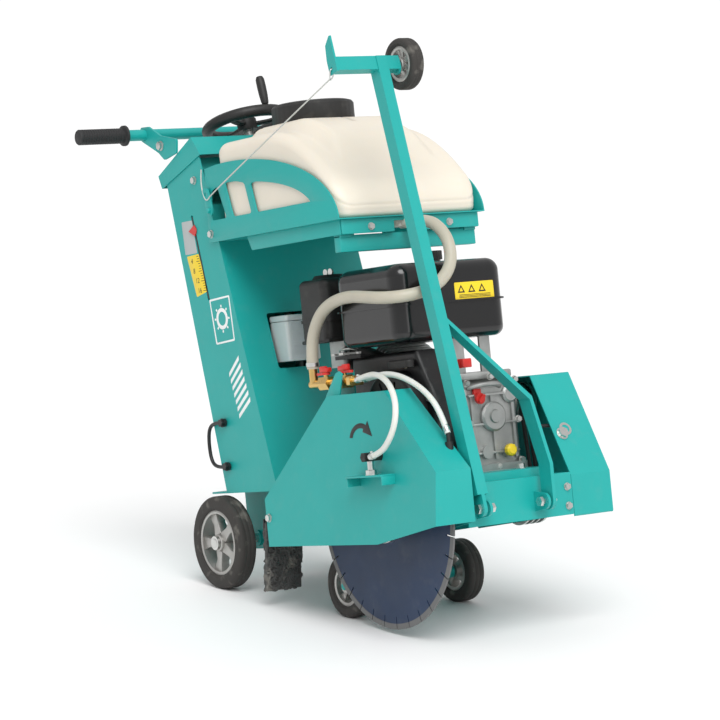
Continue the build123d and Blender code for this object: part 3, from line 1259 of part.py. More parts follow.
def make_arm():
    plane = arm_plane()
    length = hypot(ARM_PIVOT[0] - ARM_TOP[0], ARM_TOP[1] - ARM_PIVOT[1])
    joint_x = on_line(ARM_PIVOT, ARM_TOP, BRACE_JOINT_Z)
    bend_x = on_line(ARM_PIVOT, ARM_TOP, BRACE_BEND_Z)
    with BuildPart() as guide_arm:
        with BuildSketch(plane.offset(26)):
            Rectangle(ARM_DEPTH, ARM_WIDTH)
            Rectangle(ARM_DEPTH - 5, ARM_WIDTH - 5, mode=Mode.SUBTRACT)
        extrude(amount=length - 26 + 14)
        # Ear that carries the tube on its pivot
        with BuildSketch(Plane(origin=plane.origin, x_dir=plane.x_dir, z_dir=(0, -1, 0))):
            with BuildLine():
                Line((-15, 0), (-15, 34))
                Line((-15, 34), (15, 34))
                Line((15, 34), (15, 0))
                ThreePointArc((15, 0), (0, -15), (-15, 0))
            make_face()
            Circle(6 + RUNNING_FIT, mode=Mode.SUBTRACT)
        extrude(amount=4, both=True)
        # Cross bar at the top with the pointer flag on its right
        top = plane.offset(length)
        with BuildSketch(Plane(origin=top.origin + Vector(0, FLAG_Y - ARM_Y, 0), x_dir=top.x_dir, z_dir=(0, 1, 0))):
            Rectangle(26, 28)
            Rectangle(20, 22, mode=Mode.SUBTRACT)
        extrude(amount=GUIDE_WHEEL_Y - GUIDE_WHEEL_WIDTH / 2 - 4 - FLAG_Y)
        flag = Plane(origin=top.origin + Vector(0, FLAG_Y - ARM_Y, 0), x_dir=top.x_dir, z_dir=(0, -1, 0))
        with BuildSketch(flag):
            Polygon((-14, -16), (-14, 14), (-8, 44), (10, 58), (14, 58), (14, -16), align=None)
            with Locations((-4, -5)):
                Circle(3, mode=Mode.SUBTRACT)
        extrude(amount=4)
        axle_plate = Plane(
            origin=top.origin + Vector(0, GUIDE_WHEEL_Y - GUIDE_WHEEL_WIDTH / 2 - 8 - ARM_Y, 0),
            x_dir=top.x_dir,
            z_dir=(0, 1, 0),
        )
        with BuildSketch(axle_plate):
            with Locations((0, 2)):
                SlotOverall(40, 26, rotation=90)
        extrude(amount=5)
        # Axle of the guide wheel
        add(shaft(top.origin.X, top.origin.Z, GUIDE_WHEEL_Y - GUIDE_WHEEL_WIDTH / 2 - 8,
                  GUIDE_WHEEL_Y + GUIDE_WHEEL_WIDTH / 2 + 3, GUIDE_AXLE_RADIUS))
        # Flat brace down to the left-hand pivot
        with BuildSketch(front_plane(0)):
            with BuildLine():
                Polyline(
                    (ARM_Y + 10, BRACE_JOINT_Z),
                    (BRACE_Y + BRACE_SHEET / 2, BRACE_BEND_Z),
                    (BRACE_Y + BRACE_SHEET / 2, ARM_PIVOT[1]),
                    (BRACE_Y - BRACE_SHEET / 2, ARM_PIVOT[1]),
                    (BRACE_Y - BRACE_SHEET / 2, BRACE_BEND_Z - 6),
                    (ARM_Y + 10, BRACE_JOINT_Z - 11),
                    (ARM_Y + 10, BRACE_JOINT_Z),
                )
            make_face()
        slab = extrude(amount=1200, mode=Mode.PRIVATE)
        with BuildSketch(side_plane(200)):
            Polygon(
                (ARM_PIVOT[0] - BRACE_DEPTH / 2, ARM_PIVOT[1]),
                (ARM_PIVOT[0] - BRACE_DEPTH / 2, DECK_TOP + 24),
                (bend_x - BRACE_DEPTH / 2, BRACE_BEND_Z),
                (joint_x - BRACE_DEPTH / 2 + 4, BRACE_JOINT_Z + 4),
                (joint_x + BRACE_DEPTH / 2 - 4, BRACE_JOINT_Z + 4),
                (bend_x + BRACE_DEPTH / 2, BRACE_BEND_Z),
                (ARM_PIVOT[0] + BRACE_DEPTH / 2, DECK_TOP + 24),
                (ARM_PIVOT[0] + BRACE_DEPTH / 2, ARM_PIVOT[1]),
                align=None,
            )
        ribbon = extrude(amount=400, mode=Mode.PRIVATE)
        add(slab & ribbon)
        with BuildSketch(side_plane(BRACE_Y)):
            with Locations(ARM_PIVOT):
                Circle(BRACE_DEPTH / 2)
        extrude(amount=BRACE_SHEET / 2, both=True)
        with BuildSketch(side_plane(BRACE_Y)):
            with Locations(ARM_PIVOT):
                Circle(6 + RUNNING_FIT)
        extrude(amount=20, both=True, mode=Mode.SUBTRACT)
    keep(guide_arm, "guide_arm")

    hub = top.origin
    wheel_place = (hub.X, GUIDE_WHEEL_Y, hub.Z)
    wheel_set("guide", wheel_place, GUIDE_WHEEL_RADIUS, GUIDE_WHEEL_WIDTH, GUIDE_RIM_RADIUS,
              GUIDE_AXLE_RADIUS + RUNNING_FIT, 6)


# ---------------------------------------------------------------- water controls


def make_water_controls():
    """Two ball valves on a brass manifold, standing on a plate on the guard."""
    z, y = VALVE_Z, VALVE_Y
    top = GUARD_OUTLINE[0][1]
    with BuildPart() as valve_manifold:
        with BuildSketch(front_plane(384)):
            with Locations((y, z)):
                Circle(8)
        extrude(amount=154)
        for x in (VALVE_MAIN_X, VALVE_JET_X):
            with BuildSketch(front_plane(x - 17)):
                with Locations((y, z)):
                    RegularPolygon(15, 6)
            extrude(amount=34)
            with BuildSketch(Plane.XY.offset(z)):
                with Locations((x, y)):
                    Circle(5)
            extrude(amount=24)
        # Inlet from the tank hose, and the two outlets to the jets
        with BuildSketch(Plane.XY.offset(z)):
            with Locations((TANK_HOSE_END[0], y)):
                Circle(9)
        extrude(amount=TANK_HOSE_END[2] - z + 12)
        with BuildSketch(front_plane(536)):
            with Locations((y, z)):
                RectangleRounded(34, 20, 4)
        extrude(amount=12)
        with BuildSketch(front_plane(548)):
            with Locations((y - 9, z), (y + 9, z)):
                Circle(4.5)
        extrude(amount=18)
        # Clip that holds the manifold to its plate
        with BuildSketch(side_plane(y + 15)):
            with Locations(((VALVE_MAIN_X + VALVE_JET_X) / 2, z)):
                Rectangle(26, 16)
        extrude(amount=15)
    keep(valve_manifold, "valve_manifold")
    for name, x, way in (("valve_lever_main", VALVE_MAIN_X, -1), ("valve_lever_jet", VALVE_JET_X, 1)):
        with BuildPart() as lever:
            with BuildSketch(Plane.XY.offset(z + 17)):
                with Locations((x, y)):
                    Circle(9)
                with Locations((x + way * 10, y)):
                    SlotOverall(40, 11)
                with Locations((x, y)):
                    Circle(5 + RUNNING_FIT, mode=Mode.SUBTRACT)
            extrude(amount=5)
        keep(lever, name)
    with BuildPart() as jet_elbows:
        # Outer elbow, on the leaning outer plate
        face = guard_outer_y(JET_OUTER[1])
        with BuildSketch(axis_plane(JET_OUTER[0], face + 1.5, JET_OUTER[1])):
            RegularPolygon(10, 6)
        extrude(amount=face - JET_OUTER_Y + 8)
        with BuildSketch(front_plane(JET_OUTER[0])):
            with Locations((JET_OUTER_Y, JET_OUTER[1])):
                Circle(4.5)
        extrude(amount=22)
        with BuildSketch(front_plane(JET_OUTER[0] - 6)):
            with Locations((JET_OUTER_Y, JET_OUTER[1])):
                Circle(8)
        extrude(amount=14)
        # Inner elbow, on the slope
        with BuildSketch(Plane.XY.offset(JET_INNER[1] - 30)):
            with Locations((JET_INNER[0], JET_INNER_Y)):
                Circle(8)
        extrude(amount=26)
        with BuildSketch(Plane.XY.offset(JET_INNER[1] - 6)):
            with Locations((JET_INNER[0], JET_INNER_Y)):
                Circle(4.5)
        extrude(amount=20)
    keep(jet_elbows, "jet_elbows")


def hose(name, points, radius):
    """A cord as straight runs joined by tangent arcs, each as large as its runs allow."""
    radii = []
    for before, here, after in zip(points, points[1:], points[2:]):
        run_in = Vector(*here) - Vector(*before)
        run_out = Vector(*after) - Vector(*here)
        half_turn = radians(run_in.get_angle(run_out)) / 2
        radii.append(0.45 * min(run_in.length, run_out.length) / tan(half_turn))
    with BuildPart() as tube:
        with BuildLine() as path:
            FilletPolyline(*points, radius=radii)
        with BuildSketch(Plane(origin=points[0], z_dir=Vector(*points[1]) - Vector(*points[0]))):
            Circle(radius)
        sweep(path=path.wire())
    length = path.wire().length
    share = tube.part.volume / (pi * radius**2 * length)
    print(name, "length", round(length), "volume share", round(share, 4), "radii", [round(r) for r in radii])
    keep(tube, name)


def make_cords():
    hose("tank_hose", TANK_HOSE_ROUTE, TANK_HOSE_RADIUS)
    hose("jet_hose_outer", JET_OUTER_ROUTE, JET_HOSE_RADIUS)
    hose("jet_hose_inner", JET_INNER_ROUTE, JET_HOSE_RADIUS)
    hose("rope", ROPE_ROUTE, ROPE_RADIUS)


# ---------------------------------------------------------------- small parts


def bolt(place, direction, size, length):
    """A hexagon bolt head with a washer and its shank, all along one direction."""
    head = Plane(origin=place, z_dir=direction)
    with BuildPart() as fastener:
        with BuildSketch(head):
            Circle(size * 1.1)
        extrude(amount=1.5)
        with BuildSketch(head.offset(1.5)):
            RegularPolygon(size * 0.95, 6)
        extrude(amount=size * 0.62)
        with BuildSketch(head):
            Circle(size / 2)
        extrude(amount=-length)
    return fastener.part


def make_small_parts():
    with BuildPart() as fasteners:
        for low, high in ((ARM_Y - 4.6, ARM_Y + 21), (BRACE_Y - 19, BRACE_Y + 4.6)):
            add(shaft(ARM_PIVOT[0], ARM_PIVOT[1], low - 7, high + 7, 6))
            for y in (low, high + 7):
                with BuildSketch(axis_plane(ARM_PIVOT[0], y, ARM_PIVOT[1])):
                    RegularPolygon(10, 6)
                extrude(amount=7)
        cover_side = COLUMN_HALF_WIDTH + BODY_GAP + 2.5
        for side in (-1, 1):
            outwards = (0, side, 0)
            bracket_face = side * (cover_side + 1 + BRACKET_SHEET + 0.2)
            add(bolt((HANDLE_PIVOT[0], bracket_face, HANDLE_PIVOT[1]), outwards, 10, BRACKET_SHEET + 8))
            add(bolt((10, side * COLUMN_HALF_WIDTH, 782), outwards, 8, 8))
            add(bolt((72, side * CRADLE_HALF_WIDTH, 660), outwards, 8, 12))
        add(bolt((268, guard_outer_y(52), 52), (0, -1, 0), 8, 8))
        for z in (30, 68):
            add(bolt((FRAME_FRONT + DECK_SHEET, 118, z), (1, 0, 0), 7, 10))
        for y in (-100, 96):
            add(bolt((TANK_FRONT - 5, y, TANK_BOTTOM - 20), (1, 0, 0), 7, 10))
        # Wing nut on the air cleaner
        with BuildSketch(Plane.XY.offset(534.5)):
            with Locations((350, -80)):
                Circle(8)
        extrude(amount=8)
        with BuildSketch(side_plane(-80)):
            with Locations((341, 548), (359, 548)):
                Ellipse(8, 7)
        extrude(amount=2, both=True)
        # Eye bolt and its rod on the slope of the belt guard
        slope_x = on_line(BELT_GUARD_OUTLINE[4], BELT_GUARD_OUTLINE[3], 172)
        add(bolt((slope_x, BELT_GUARD_INNER_Y + 20, 172), (204, 0, 102), 12, 12))
    keep(fasteners, "fasteners")

    with BuildPart() as tool_box:
        front = on_line((COLUMN_FOOT_FRONT, COLUMN_SEAT), COLUMN_HEAD_FRONT, 470)
        with BuildSketch(Plane.XY.offset(372)):
            with Locations((front + 28, -52)):
                RectangleRounded(72, 84, 8)
        extrude(amount=100)
    keep(tool_box, "tool_box")

    with BuildPart() as strap_loop:
        y = -COLUMN_HALF_WIDTH - 5
        with BuildLine() as loop:
            ThreePointArc((42, y, 256), (-24, y, 209), (42, y, 162))
        with BuildSketch(Plane(origin=loop.line @ 0, z_dir=loop.line % 0)):
            Circle(4)
        sweep(path=loop.wire())
        for z in (256, 162):
            add(bolt((42, y + 1, z), (0, -1, 0), 9, 8))
    keep(strap_loop, "strap_loop")

    with BuildPart() as depth_pointer:
        place = (SLOT_HIGH[0] + 6, SLOT_HIGH[1] - 30)
        with BuildSketch(side_plane(-COLUMN_HALF_WIDTH - BODY_GAP)):
            with Locations(place):
                Circle(10)
            Polygon(
                (place[0] + 4, place[1] + 12),
                (place[0] - 22, place[1]),
                (place[0] + 4, place[1] - 12),
                align=None,
            )
        extrude(amount=2)
        with BuildSketch(side_plane(-COLUMN_HALF_WIDTH - BODY_GAP)):
            with Locations(place):
                Circle(SLOT_WIDTH / 2 - 0.4)
        extrude(amount=-(COLUMN_SHEET + 2))
        with BuildSketch(side_plane(-COLUMN_HALF_WIDTH + COLUMN_SHEET + BODY_GAP)):
            with Locations(place):
                Circle(8)
        extrude(amount=-2)
    keep(depth_pointer, "depth_pointer")

    with BuildPart() as engine_switch:
        with BuildSketch(front_plane(CRANKCASE_FRONT + 12.3)):
            with Locations((-4, 258)):
                Circle(11)
        extrude(amount=6)
        with BuildSketch(front_plane(CRANKCASE_FRONT + 18.3)):
            with Locations((-4, 258)):
                SlotOverall(20, 7, rotation=45)
        extrude(amount=6)
    keep(engine_switch, "engine_switch")


make_chassis()
make_wheels()
make_undercarriage()
make_blade()
make_drive()
make_guards()
make_column()
make_lift()
make_handwheel()
make_handlebar()
make_tank()
make_engine()
make_arm()
make_water_controls()
make_cords()
make_small_parts()

# ---------------------------------------------------------------- place and write

CORDS = {"tank_hose", "jet_hose_outer", "jet_hose_inner", "rope"}
pitched = {
    name: piece.rotate(Axis.Y, -TRANSPORT_PITCH).translate((0, 0, REAR_RADIUS))
    for name, piece in finished.items()
}
boxes = [piece.bounding_box() for name, piece in pitched.items() if name not in CORDS]
middle_x = (min(box.min.X for box in boxes) + max(box.max.X for box in boxes)) / 2
middle_y = (min(box.min.Y for box in boxes) + max(box.max.Y for box in boxes)) / 2
low_z = min(box.min.Z for box in boxes)
for name, piece in pitched.items():
    placed = piece.translate((-middle_x, -middle_y, -low_z))
    placed.label = name
    export_step(placed, f"parts/{name}.step")
print("origin shift", round(-middle_x, 3), round(-middle_y, 3), round(-low_z, 3), "pieces", len(pitched))
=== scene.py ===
"""Walk-behind concrete saw: materials, mesh detail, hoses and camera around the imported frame.

Places are written in the chassis frame in millimetres: u forwards, v to the machine's left and
w up, from the centre of the rear axle, with the deck level. at() turns them into row metres.
"""

import math
import random

import bmesh
import bpy
from mathutils import Matrix, Quaternion, Vector


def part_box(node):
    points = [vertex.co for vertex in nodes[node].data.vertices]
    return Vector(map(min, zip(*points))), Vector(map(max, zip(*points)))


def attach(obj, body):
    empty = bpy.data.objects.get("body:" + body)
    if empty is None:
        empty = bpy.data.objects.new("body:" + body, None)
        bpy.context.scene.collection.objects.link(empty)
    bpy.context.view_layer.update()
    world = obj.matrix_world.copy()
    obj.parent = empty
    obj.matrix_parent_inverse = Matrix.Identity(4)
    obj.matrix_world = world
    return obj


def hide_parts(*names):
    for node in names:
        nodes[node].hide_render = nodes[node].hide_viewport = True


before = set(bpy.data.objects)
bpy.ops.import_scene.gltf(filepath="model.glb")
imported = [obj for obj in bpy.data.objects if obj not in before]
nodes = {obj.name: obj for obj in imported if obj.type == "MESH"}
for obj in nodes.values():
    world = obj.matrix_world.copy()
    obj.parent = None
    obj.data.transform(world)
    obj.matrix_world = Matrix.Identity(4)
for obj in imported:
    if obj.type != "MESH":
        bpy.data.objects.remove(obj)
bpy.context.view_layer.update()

# ---------------------------------------------------------------- the chassis frame

PITCH = math.radians(8.85)
FORWARD = Vector((math.cos(PITCH), 0, math.sin(PITCH)))
LEFT = Vector((0, 1, 0))
UP = Vector((-math.sin(PITCH), 0, math.cos(PITCH)))


def middle(node):
    """The middle of a node's box, in row metres."""
    low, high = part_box(node)
    return (Vector(low) + Vector(high)) / 2


AXLE = middle("rear_left_tyre")
AXLE.y = 0


def middle_in_chassis(node):
    """The middle of a node's box, in chassis millimetres."""
    spot = (middle(node) - AXLE) * 1000
    return (spot.dot(FORWARD), spot.dot(LEFT), spot.dot(UP))


def at(u, v, w):
    """A point of the chassis frame, in row metres."""
    return AXLE + (FORWARD * u + LEFT * v + UP * w) / 1000


CHASSIS_TURN = Matrix((FORWARD, LEFT, UP)).transposed().to_4x4()
CHASSIS = Matrix.Translation(AXLE) @ CHASSIS_TURN @ Matrix.Scale(0.001, 4)


# ---------------------------------------------------------------- materials

DUST = (0.33, 0.31, 0.27, 1)
DUST_FROM, DUST_TO = 0.56, 0.75
RELIEF_DEPTH = 0.001
COAT_ROUGHNESS = 0.12
SCATTER_DEPTH, SCATTER_COLOUR = 0.02, (1.0, 0.8, 0.55)


def surface(name, colour, rough, metallic=0.0, vary=0.12, vary_scale=9, grain_scale=600, relief=0.05,
            coat=0.0, grime=0.0, rough_vary=0.08, sss=0.0):
    """A painted, cast or moulded surface: blotchy colour, uneven gloss and a fine relief."""
    made = bpy.data.materials.new(name)
    made.use_nodes = True
    tree = made.node_tree
    link = tree.links.new
    shader = tree.nodes["Principled BSDF"]
    coords = tree.nodes.new("ShaderNodeTexCoord")

    def noise(scale, detail=4.0):
        node = tree.nodes.new("ShaderNodeTexNoise")
        node.inputs["Scale"].default_value = scale
        node.inputs["Detail"].default_value = detail
        link(coords.outputs["Object"], node.inputs["Vector"])
        return node

    blotches = noise(vary_scale)
    shade = tree.nodes.new("ShaderNodeMix")
    shade.data_type = "RGBA"
    shade.inputs["A"].default_value = (*[c * (1 - vary) for c in colour], 1)
    shade.inputs["B"].default_value = (*[min(1, c * (1 + vary)) for c in colour], 1)
    link(blotches.outputs["Fac"], shade.inputs["Factor"])
    result = shade.outputs["Result"]
    if grime:
        dirt = noise(38, 9.0)
        edge = tree.nodes.new("ShaderNodeMapRange")
        edge.inputs["From Min"].default_value = DUST_FROM
        edge.inputs["From Max"].default_value = DUST_TO
        edge.inputs["To Max"].default_value = grime
        link(dirt.outputs["Fac"], edge.inputs["Value"])
        dusty = tree.nodes.new("ShaderNodeMix")
        dusty.data_type = "RGBA"
        dusty.inputs["B"].default_value = DUST
        link(edge.outputs["Result"], dusty.inputs["Factor"])
        link(result, dusty.inputs["A"])
        result = dusty.outputs["Result"]
    link(result, shader.inputs["Base Color"])
    gloss = tree.nodes.new("ShaderNodeMapRange")
    gloss.inputs["To Min"].default_value = max(0.02, rough - rough_vary)
    gloss.inputs["To Max"].default_value = min(1, rough + rough_vary)
    link(noise(26, 6.0).outputs["Fac"], gloss.inputs["Value"])
    link(gloss.outputs["Result"], shader.inputs["Roughness"])
    bump = tree.nodes.new("ShaderNodeBump")
    bump.inputs["Strength"].default_value = relief
    bump.inputs["Distance"].default_value = RELIEF_DEPTH
    link(noise(grain_scale, 3.0).outputs["Fac"], bump.inputs["Height"])
    link(bump.outputs["Normal"], shader.inputs["Normal"])
    shader.inputs["Metallic"].default_value = metallic
    shader.inputs["Coat Weight"].default_value = coat
    shader.inputs["Coat Roughness"].default_value = COAT_ROUGHNESS
    if sss:
        shader.inputs["Subsurface Weight"].default_value = sss
        shader.inputs["Subsurface Scale"].default_value = SCATTER_DEPTH
        shader.inputs["Subsurface Radius"].default_value = SCATTER_COLOUR
    return made


TEAL = surface("teal_powder_coat", (0.006, 0.35, 0.325), 0.46, vary=0.06, grain_scale=900, relief=0.14,
               coat=0.04, grime=0.04)
BLACK_PAINT = surface("black_paint", (0.009, 0.009, 0.010), 0.4, grain_scale=700, relief=0.08, grime=0.08)
BLACK_PLASTIC = surface("black_plastic", (0.013, 0.0125, 0.012), 0.5, grain_scale=1400, relief=0.2,
                        grime=0.06)
BLACK_GLOSS = surface("black_gloss", (0.004, 0.004, 0.0045), 0.22, relief=0.01, coat=0.25,
                      rough_vary=0.05)
CAST = surface("cast_aluminium", (0.40, 0.41, 0.40), 0.42, metallic=0.9, vary=0.3, vary_scale=30,
               grain_scale=1100, relief=0.5, grime=0.12)
RIM = surface("rim_aluminium", (0.46, 0.45, 0.43), 0.42, metallic=0.8, vary=0.08, grain_scale=1300,
              relief=0.3)
ZINC = surface("zinc_plate", (0.63, 0.63, 0.61), 0.3, metallic=1.0, vary=0.1, vary_scale=60, relief=0.08)
BRASS = surface("brass", (0.68, 0.46, 0.17), 0.3, metallic=1.0, vary=0.15, vary_scale=70, relief=0.12)
RUBBER = surface("solid_tyre", (0.035, 0.032, 0.029), 0.78, vary=0.25, vary_scale=24, grain_scale=420,
                 relief=0.5, grime=0.4)
GRIP = surface("grip_rubber", (0.016, 0.016, 0.017), 0.6, grain_scale=900, relief=0.35)
FLAP = surface("flap_rubber", (0.06, 0.06, 0.058), 0.8, vary=0.5, vary_scale=60, relief=0.6, grime=0.5)
BELT = surface("belt_rubber", (0.02, 0.02, 0.02), 0.7, grain_scale=900, relief=0.4)
CREAM = surface("tank_polyethylene", (0.74, 0.68, 0.58), 0.45, vary=0.05, vary_scale=7, grain_scale=500,
                relief=0.12, sss=0.25)
PALE_BOX = surface("pale_plastic", (0.55, 0.6, 0.6), 0.4, vary=0.05, relief=0.1, sss=0.2)
BEIGE_HOSE = surface("beige_hose", (0.46, 0.43, 0.35), 0.4, vary=0.08, vary_scale=30, relief=0.12,
                     sss=0.2)
WHITE_HOSE = surface("white_hose", (0.68, 0.69, 0.65), 0.34, vary=0.05, vary_scale=40, relief=0.06,
                     sss=0.3)
ROPE_CORE = surface("steel_cord", (0.62, 0.62, 0.58), 0.5, metallic=0.3, vary=0.2, vary_scale=300,
                    grain_scale=1600, relief=0.8)
RED = surface("red_plastic", (0.6, 0.025, 0.02), 0.35, relief=0.1)
YELLOW = surface("label_yellow", (0.85, 0.62, 0.02), 0.4, vary=0.05, relief=0.03)
WHITE = surface("label_white", (0.82, 0.84, 0.83), 0.42, vary=0.04, relief=0.03)
GREY = surface("label_grey", (0.42, 0.45, 0.45), 0.45, vary=0.06, relief=0.03)
INK = surface("label_ink", (0.012, 0.012, 0.012), 0.45, vary=0.2, relief=0.03)
FLOOR = surface("floor", (0.93, 0.93, 0.93), 0.6, vary=0.01, vary_scale=1, grain_scale=80, relief=0.02)

SEGMENT_BAND_FROM, SEGMENT_BAND_TO = 0.2132, 0.2142
SEGMENT_STEEL = (0.13, 0.13, 0.13, 1)


def blade_material():
    """Blue painted core inside a ground steel segment band, told apart by distance from the arbor."""
    made = surface("blade_core", (0.006, 0.024, 0.07), 0.5, vary=0.3, vary_scale=14, relief=0.1, grime=0.04)
    tree = made.node_tree
    link = tree.links.new
    shader = tree.nodes["Principled BSDF"]
    paint = shader.inputs["Base Color"].links[0].from_socket
    coords = tree.nodes.new("ShaderNodeTexCoord")
    away = tree.nodes.new("ShaderNodeVectorMath")
    away.operation = "DISTANCE"
    away.inputs[1].default_value = middle("saw_blade")
    link(coords.outputs["Object"], away.inputs[0])
    band = tree.nodes.new("ShaderNodeMapRange")
    band.inputs["From Min"].default_value = SEGMENT_BAND_FROM
    band.inputs["From Max"].default_value = SEGMENT_BAND_TO
    link(away.outputs["Value"], band.inputs["Value"])
    mix = tree.nodes.new("ShaderNodeMix")
    mix.data_type = "RGBA"
    mix.inputs["B"].default_value = SEGMENT_STEEL
    link(band.outputs["Result"], mix.inputs["Factor"])
    link(paint, mix.inputs["A"])
    link(mix.outputs["Result"], shader.inputs["Base Color"])
    return made


# ---------------------------------------------------------------- mesh helpers


def place(name, data):
    """A new object, linked into the scene."""
    made = bpy.data.objects.new(name, data)
    bpy.context.scene.collection.objects.link(made)
    return made


def upright_to(axis):
    """The turn that takes +Z to an axis."""
    return Vector((0, 0, 1)).rotation_difference(Vector(axis)).to_matrix().to_4x4()


def settle(name, data, body, material, sharp, replaces):
    """Link a mesh as a finished piece of the object."""
    data.materials.clear()
    data.materials.append(material)
    for face in data.polygons:
        face.use_smooth = True
    data.set_sharp_from_angle(angle=math.radians(sharp))
    piece = place(name, data)
    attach(piece, body)
    if replaces:
        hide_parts(*replaces)


WASHER_THICK = 1.4


class Shape:
    """Solids collected in one mesh, each given in chassis millimetres."""

    def __init__(self):
        self.mesh = bmesh.new()

    def take(self, other, matrix):
        """Add the faces of another bmesh, moved by a matrix."""
        other.transform(matrix)
        data = bpy.data.meshes.new("part")
        other.to_mesh(data)
        other.free()
        self.mesh.from_mesh(data)
        bpy.data.meshes.remove(data)

    def block(self, low, high, bevel, turn=None):
        """A box between two corners with rounded edges, turned about its own middle."""
        part = bmesh.new()
        bmesh.ops.create_cube(part, size=1)
        size = [h - l for l, h in zip(low, high)]
        bmesh.ops.scale(part, vec=size, verts=part.verts)
        bmesh.ops.bevel(part, geom=part.edges[:], offset=bevel, segments=2, affect="EDGES", profile=0.5)
        centre = Vector([(l + h) / 2 for l, h in zip(low, high)])
        rotation = Quaternion(turn[0], math.radians(turn[1])).to_matrix().to_4x4() if turn else Matrix()
        self.take(part, CHASSIS @ Matrix.Translation(centre) @ rotation)

    def lathe(self, profile, centre, axis, steps=48, lobes=0, depth=0.0):
        """A profile of (radius, height) points turned about an axis, its radius rippled by lobes."""
        part = bmesh.new()
        rings = []
        for radius, height in profile:
            ring = []
            for k in range(steps):
                angle = 2 * math.pi * k / steps
                r = radius + (depth * math.cos(lobes * angle) if lobes else 0)
                ring.append(part.verts.new((r * math.cos(angle), r * math.sin(angle), height)))
            rings.append(ring)
        for one, two in zip(rings, rings[1:]):
            for k in range(steps):
                part.faces.new((one[k], one[(k + 1) % steps], two[(k + 1) % steps], two[k]))
        if profile[0] == profile[-1]:
            bmesh.ops.remove_doubles(part, verts=part.verts, dist=1e-4)
        else:
            for ring in (rings[0], rings[-1]):
                part.faces.new(ring)
        bmesh.ops.recalc_face_normals(part, faces=part.faces)
        self.take(part, CHASSIS @ Matrix.Translation(Vector(centre)) @ upright_to(axis))

    def hexagon(self, centre, axis, across, height):
        """A bolt head or nut standing on its washer."""
        washer = across * 0.66
        self.lathe([(0.2, 0), (washer, 0), (washer, WASHER_THICK), (0.2, WASHER_THICK)], centre, axis, 24)
        radius = across / 2 / math.cos(math.pi / 6)
        foot = Vector(centre) + Vector(axis).normalized() * WASHER_THICK
        head = [(0.2, 0), (radius, 0), (radius, height - 1), (radius * 0.9, height), (0.2, height)]
        self.lathe(head, foot, axis, 6)

    def curve(self, points, radius):
        """A round bar along a smooth line."""
        line = bpy.data.curves.new("line", "CURVE")
        line.dimensions = "3D"
        spline = line.splines.new("NURBS")
        spline.points.add(len(points) - 1)
        for point, spot in zip(spline.points, points):
            point.co = (*at(*spot), 1)
        spline.order_u = 3
        spline.use_endpoint_u = True
        spline.resolution_u = 8
        line.bevel_depth = radius / 1000
        line.bevel_resolution = 5
        line.use_fill_caps = True
        holder = bpy.data.objects.new("line", line)
        data = bpy.data.meshes.new_from_object(holder)
        self.mesh.from_mesh(data)
        bpy.data.objects.remove(holder)
        bpy.data.curves.remove(line)
        bpy.data.meshes.remove(data)

    def plate(self, outlines, v_low, v_high, bevel=0.6, plane="side"):
        """A flat plate with holes between two offsets, from closed outlines.

        Their points are (u, w) on a side plane, (v, w) on a front one and (u, v) on a top one.
        """
        line = bpy.data.curves.new("plate", "CURVE")
        line.dimensions = "2D"
        line.fill_mode = "BOTH"
        for outline in outlines:
            spline = line.splines.new("POLY")
            spline.points.add(len(outline) - 1)
            for point, (a, b) in zip(spline.points, outline):
                point.co = (a, b, 0, 1)
            spline.use_cyclic_u = True
        line.extrude = (v_high - v_low) / 2 - bevel
        line.bevel_depth = bevel
        line.bevel_resolution = 1
        line.offset = -bevel
        holder = bpy.data.objects.new("plate", line)
        data = bpy.data.meshes.new_from_object(holder)
        part = bmesh.new()
        part.from_mesh(data)
        bpy.data.objects.remove(holder)
        bpy.data.curves.remove(line)
        bpy.data.meshes.remove(data)
        half = (v_low + v_high) / 2
        planes = {
            "side": Matrix(((1, 0, 0, 0), (0, 0, -1, half), (0, 1, 0, 0), (0, 0, 0, 1))),
            "front": Matrix(((0, 0, 1, half), (1, 0, 0, 0), (0, 1, 0, 0), (0, 0, 0, 1))),
            "top": Matrix(((1, 0, 0, 0), (0, 1, 0, 0), (0, 0, 1, half), (0, 0, 0, 1))),
        }
        matrix = planes[plane] if isinstance(plane, str) else plane
        self.take(part, CHASSIS @ matrix)

    def piece(self, name, body, material, slot, sharp=35, replaces=()):
        """Finish the shape as one piece of the object."""
        data = bpy.data.meshes.new(name)
        bmesh.ops.remove_doubles(self.mesh, verts=self.mesh.verts, dist=1e-6)
        self.mesh.to_mesh(data)
        self.mesh.free()
        settle(name, data, body, material, sharp, replaces)


def arc(centre, radius, start, end, steps=12):
    """Points on an arc of a circle, or of an ellipse where radius is a pair."""
    a, b = radius if isinstance(radius, tuple) else (radius, radius)
    spots = []
    for k in range(steps + 1):
        angle = math.radians(start + (end - start) * k / steps)
        spots.append((centre[0] + a * math.cos(angle), centre[1] + b * math.sin(angle)))
    return spots


def rounded(outline, radius, steps=4):
    """The same outline with its corners rounded."""
    spots = []
    for k, corner in enumerate(outline):
        here = Vector(corner)
        before, after = Vector(outline[k - 1]), Vector(outline[(k + 1) % len(outline)])
        cut = min(radius, (before - here).length * 0.45, (after - here).length * 0.45)
        start = here + (before - here).normalized() * cut
        end = here + (after - here).normalized() * cut
        for step in range(steps + 1):
            t = step / steps
            spots.append(tuple(start * (1 - t) ** 2 + here * 2 * t * (1 - t) + end * t**2))
    return spots


def smooth_step(low, high, value):
    """0 up to low and 1 from high on, or the other way round where low is the larger."""
    t = max(0.0, min(1.0, (value - low) / (high - low)))
    return t * t * (3 - 2 * t)


# ---------------------------------------------------------------- wheels


# Radius, width, rim radius, number of spokes and hub radius
REAR_WHEEL = (100, 42, 70, 5, 18)
FRONT_WHEEL = (66, 41, 42, 4, 16)
GUIDE_WHEEL = (52, 30, 36, 6, 13)


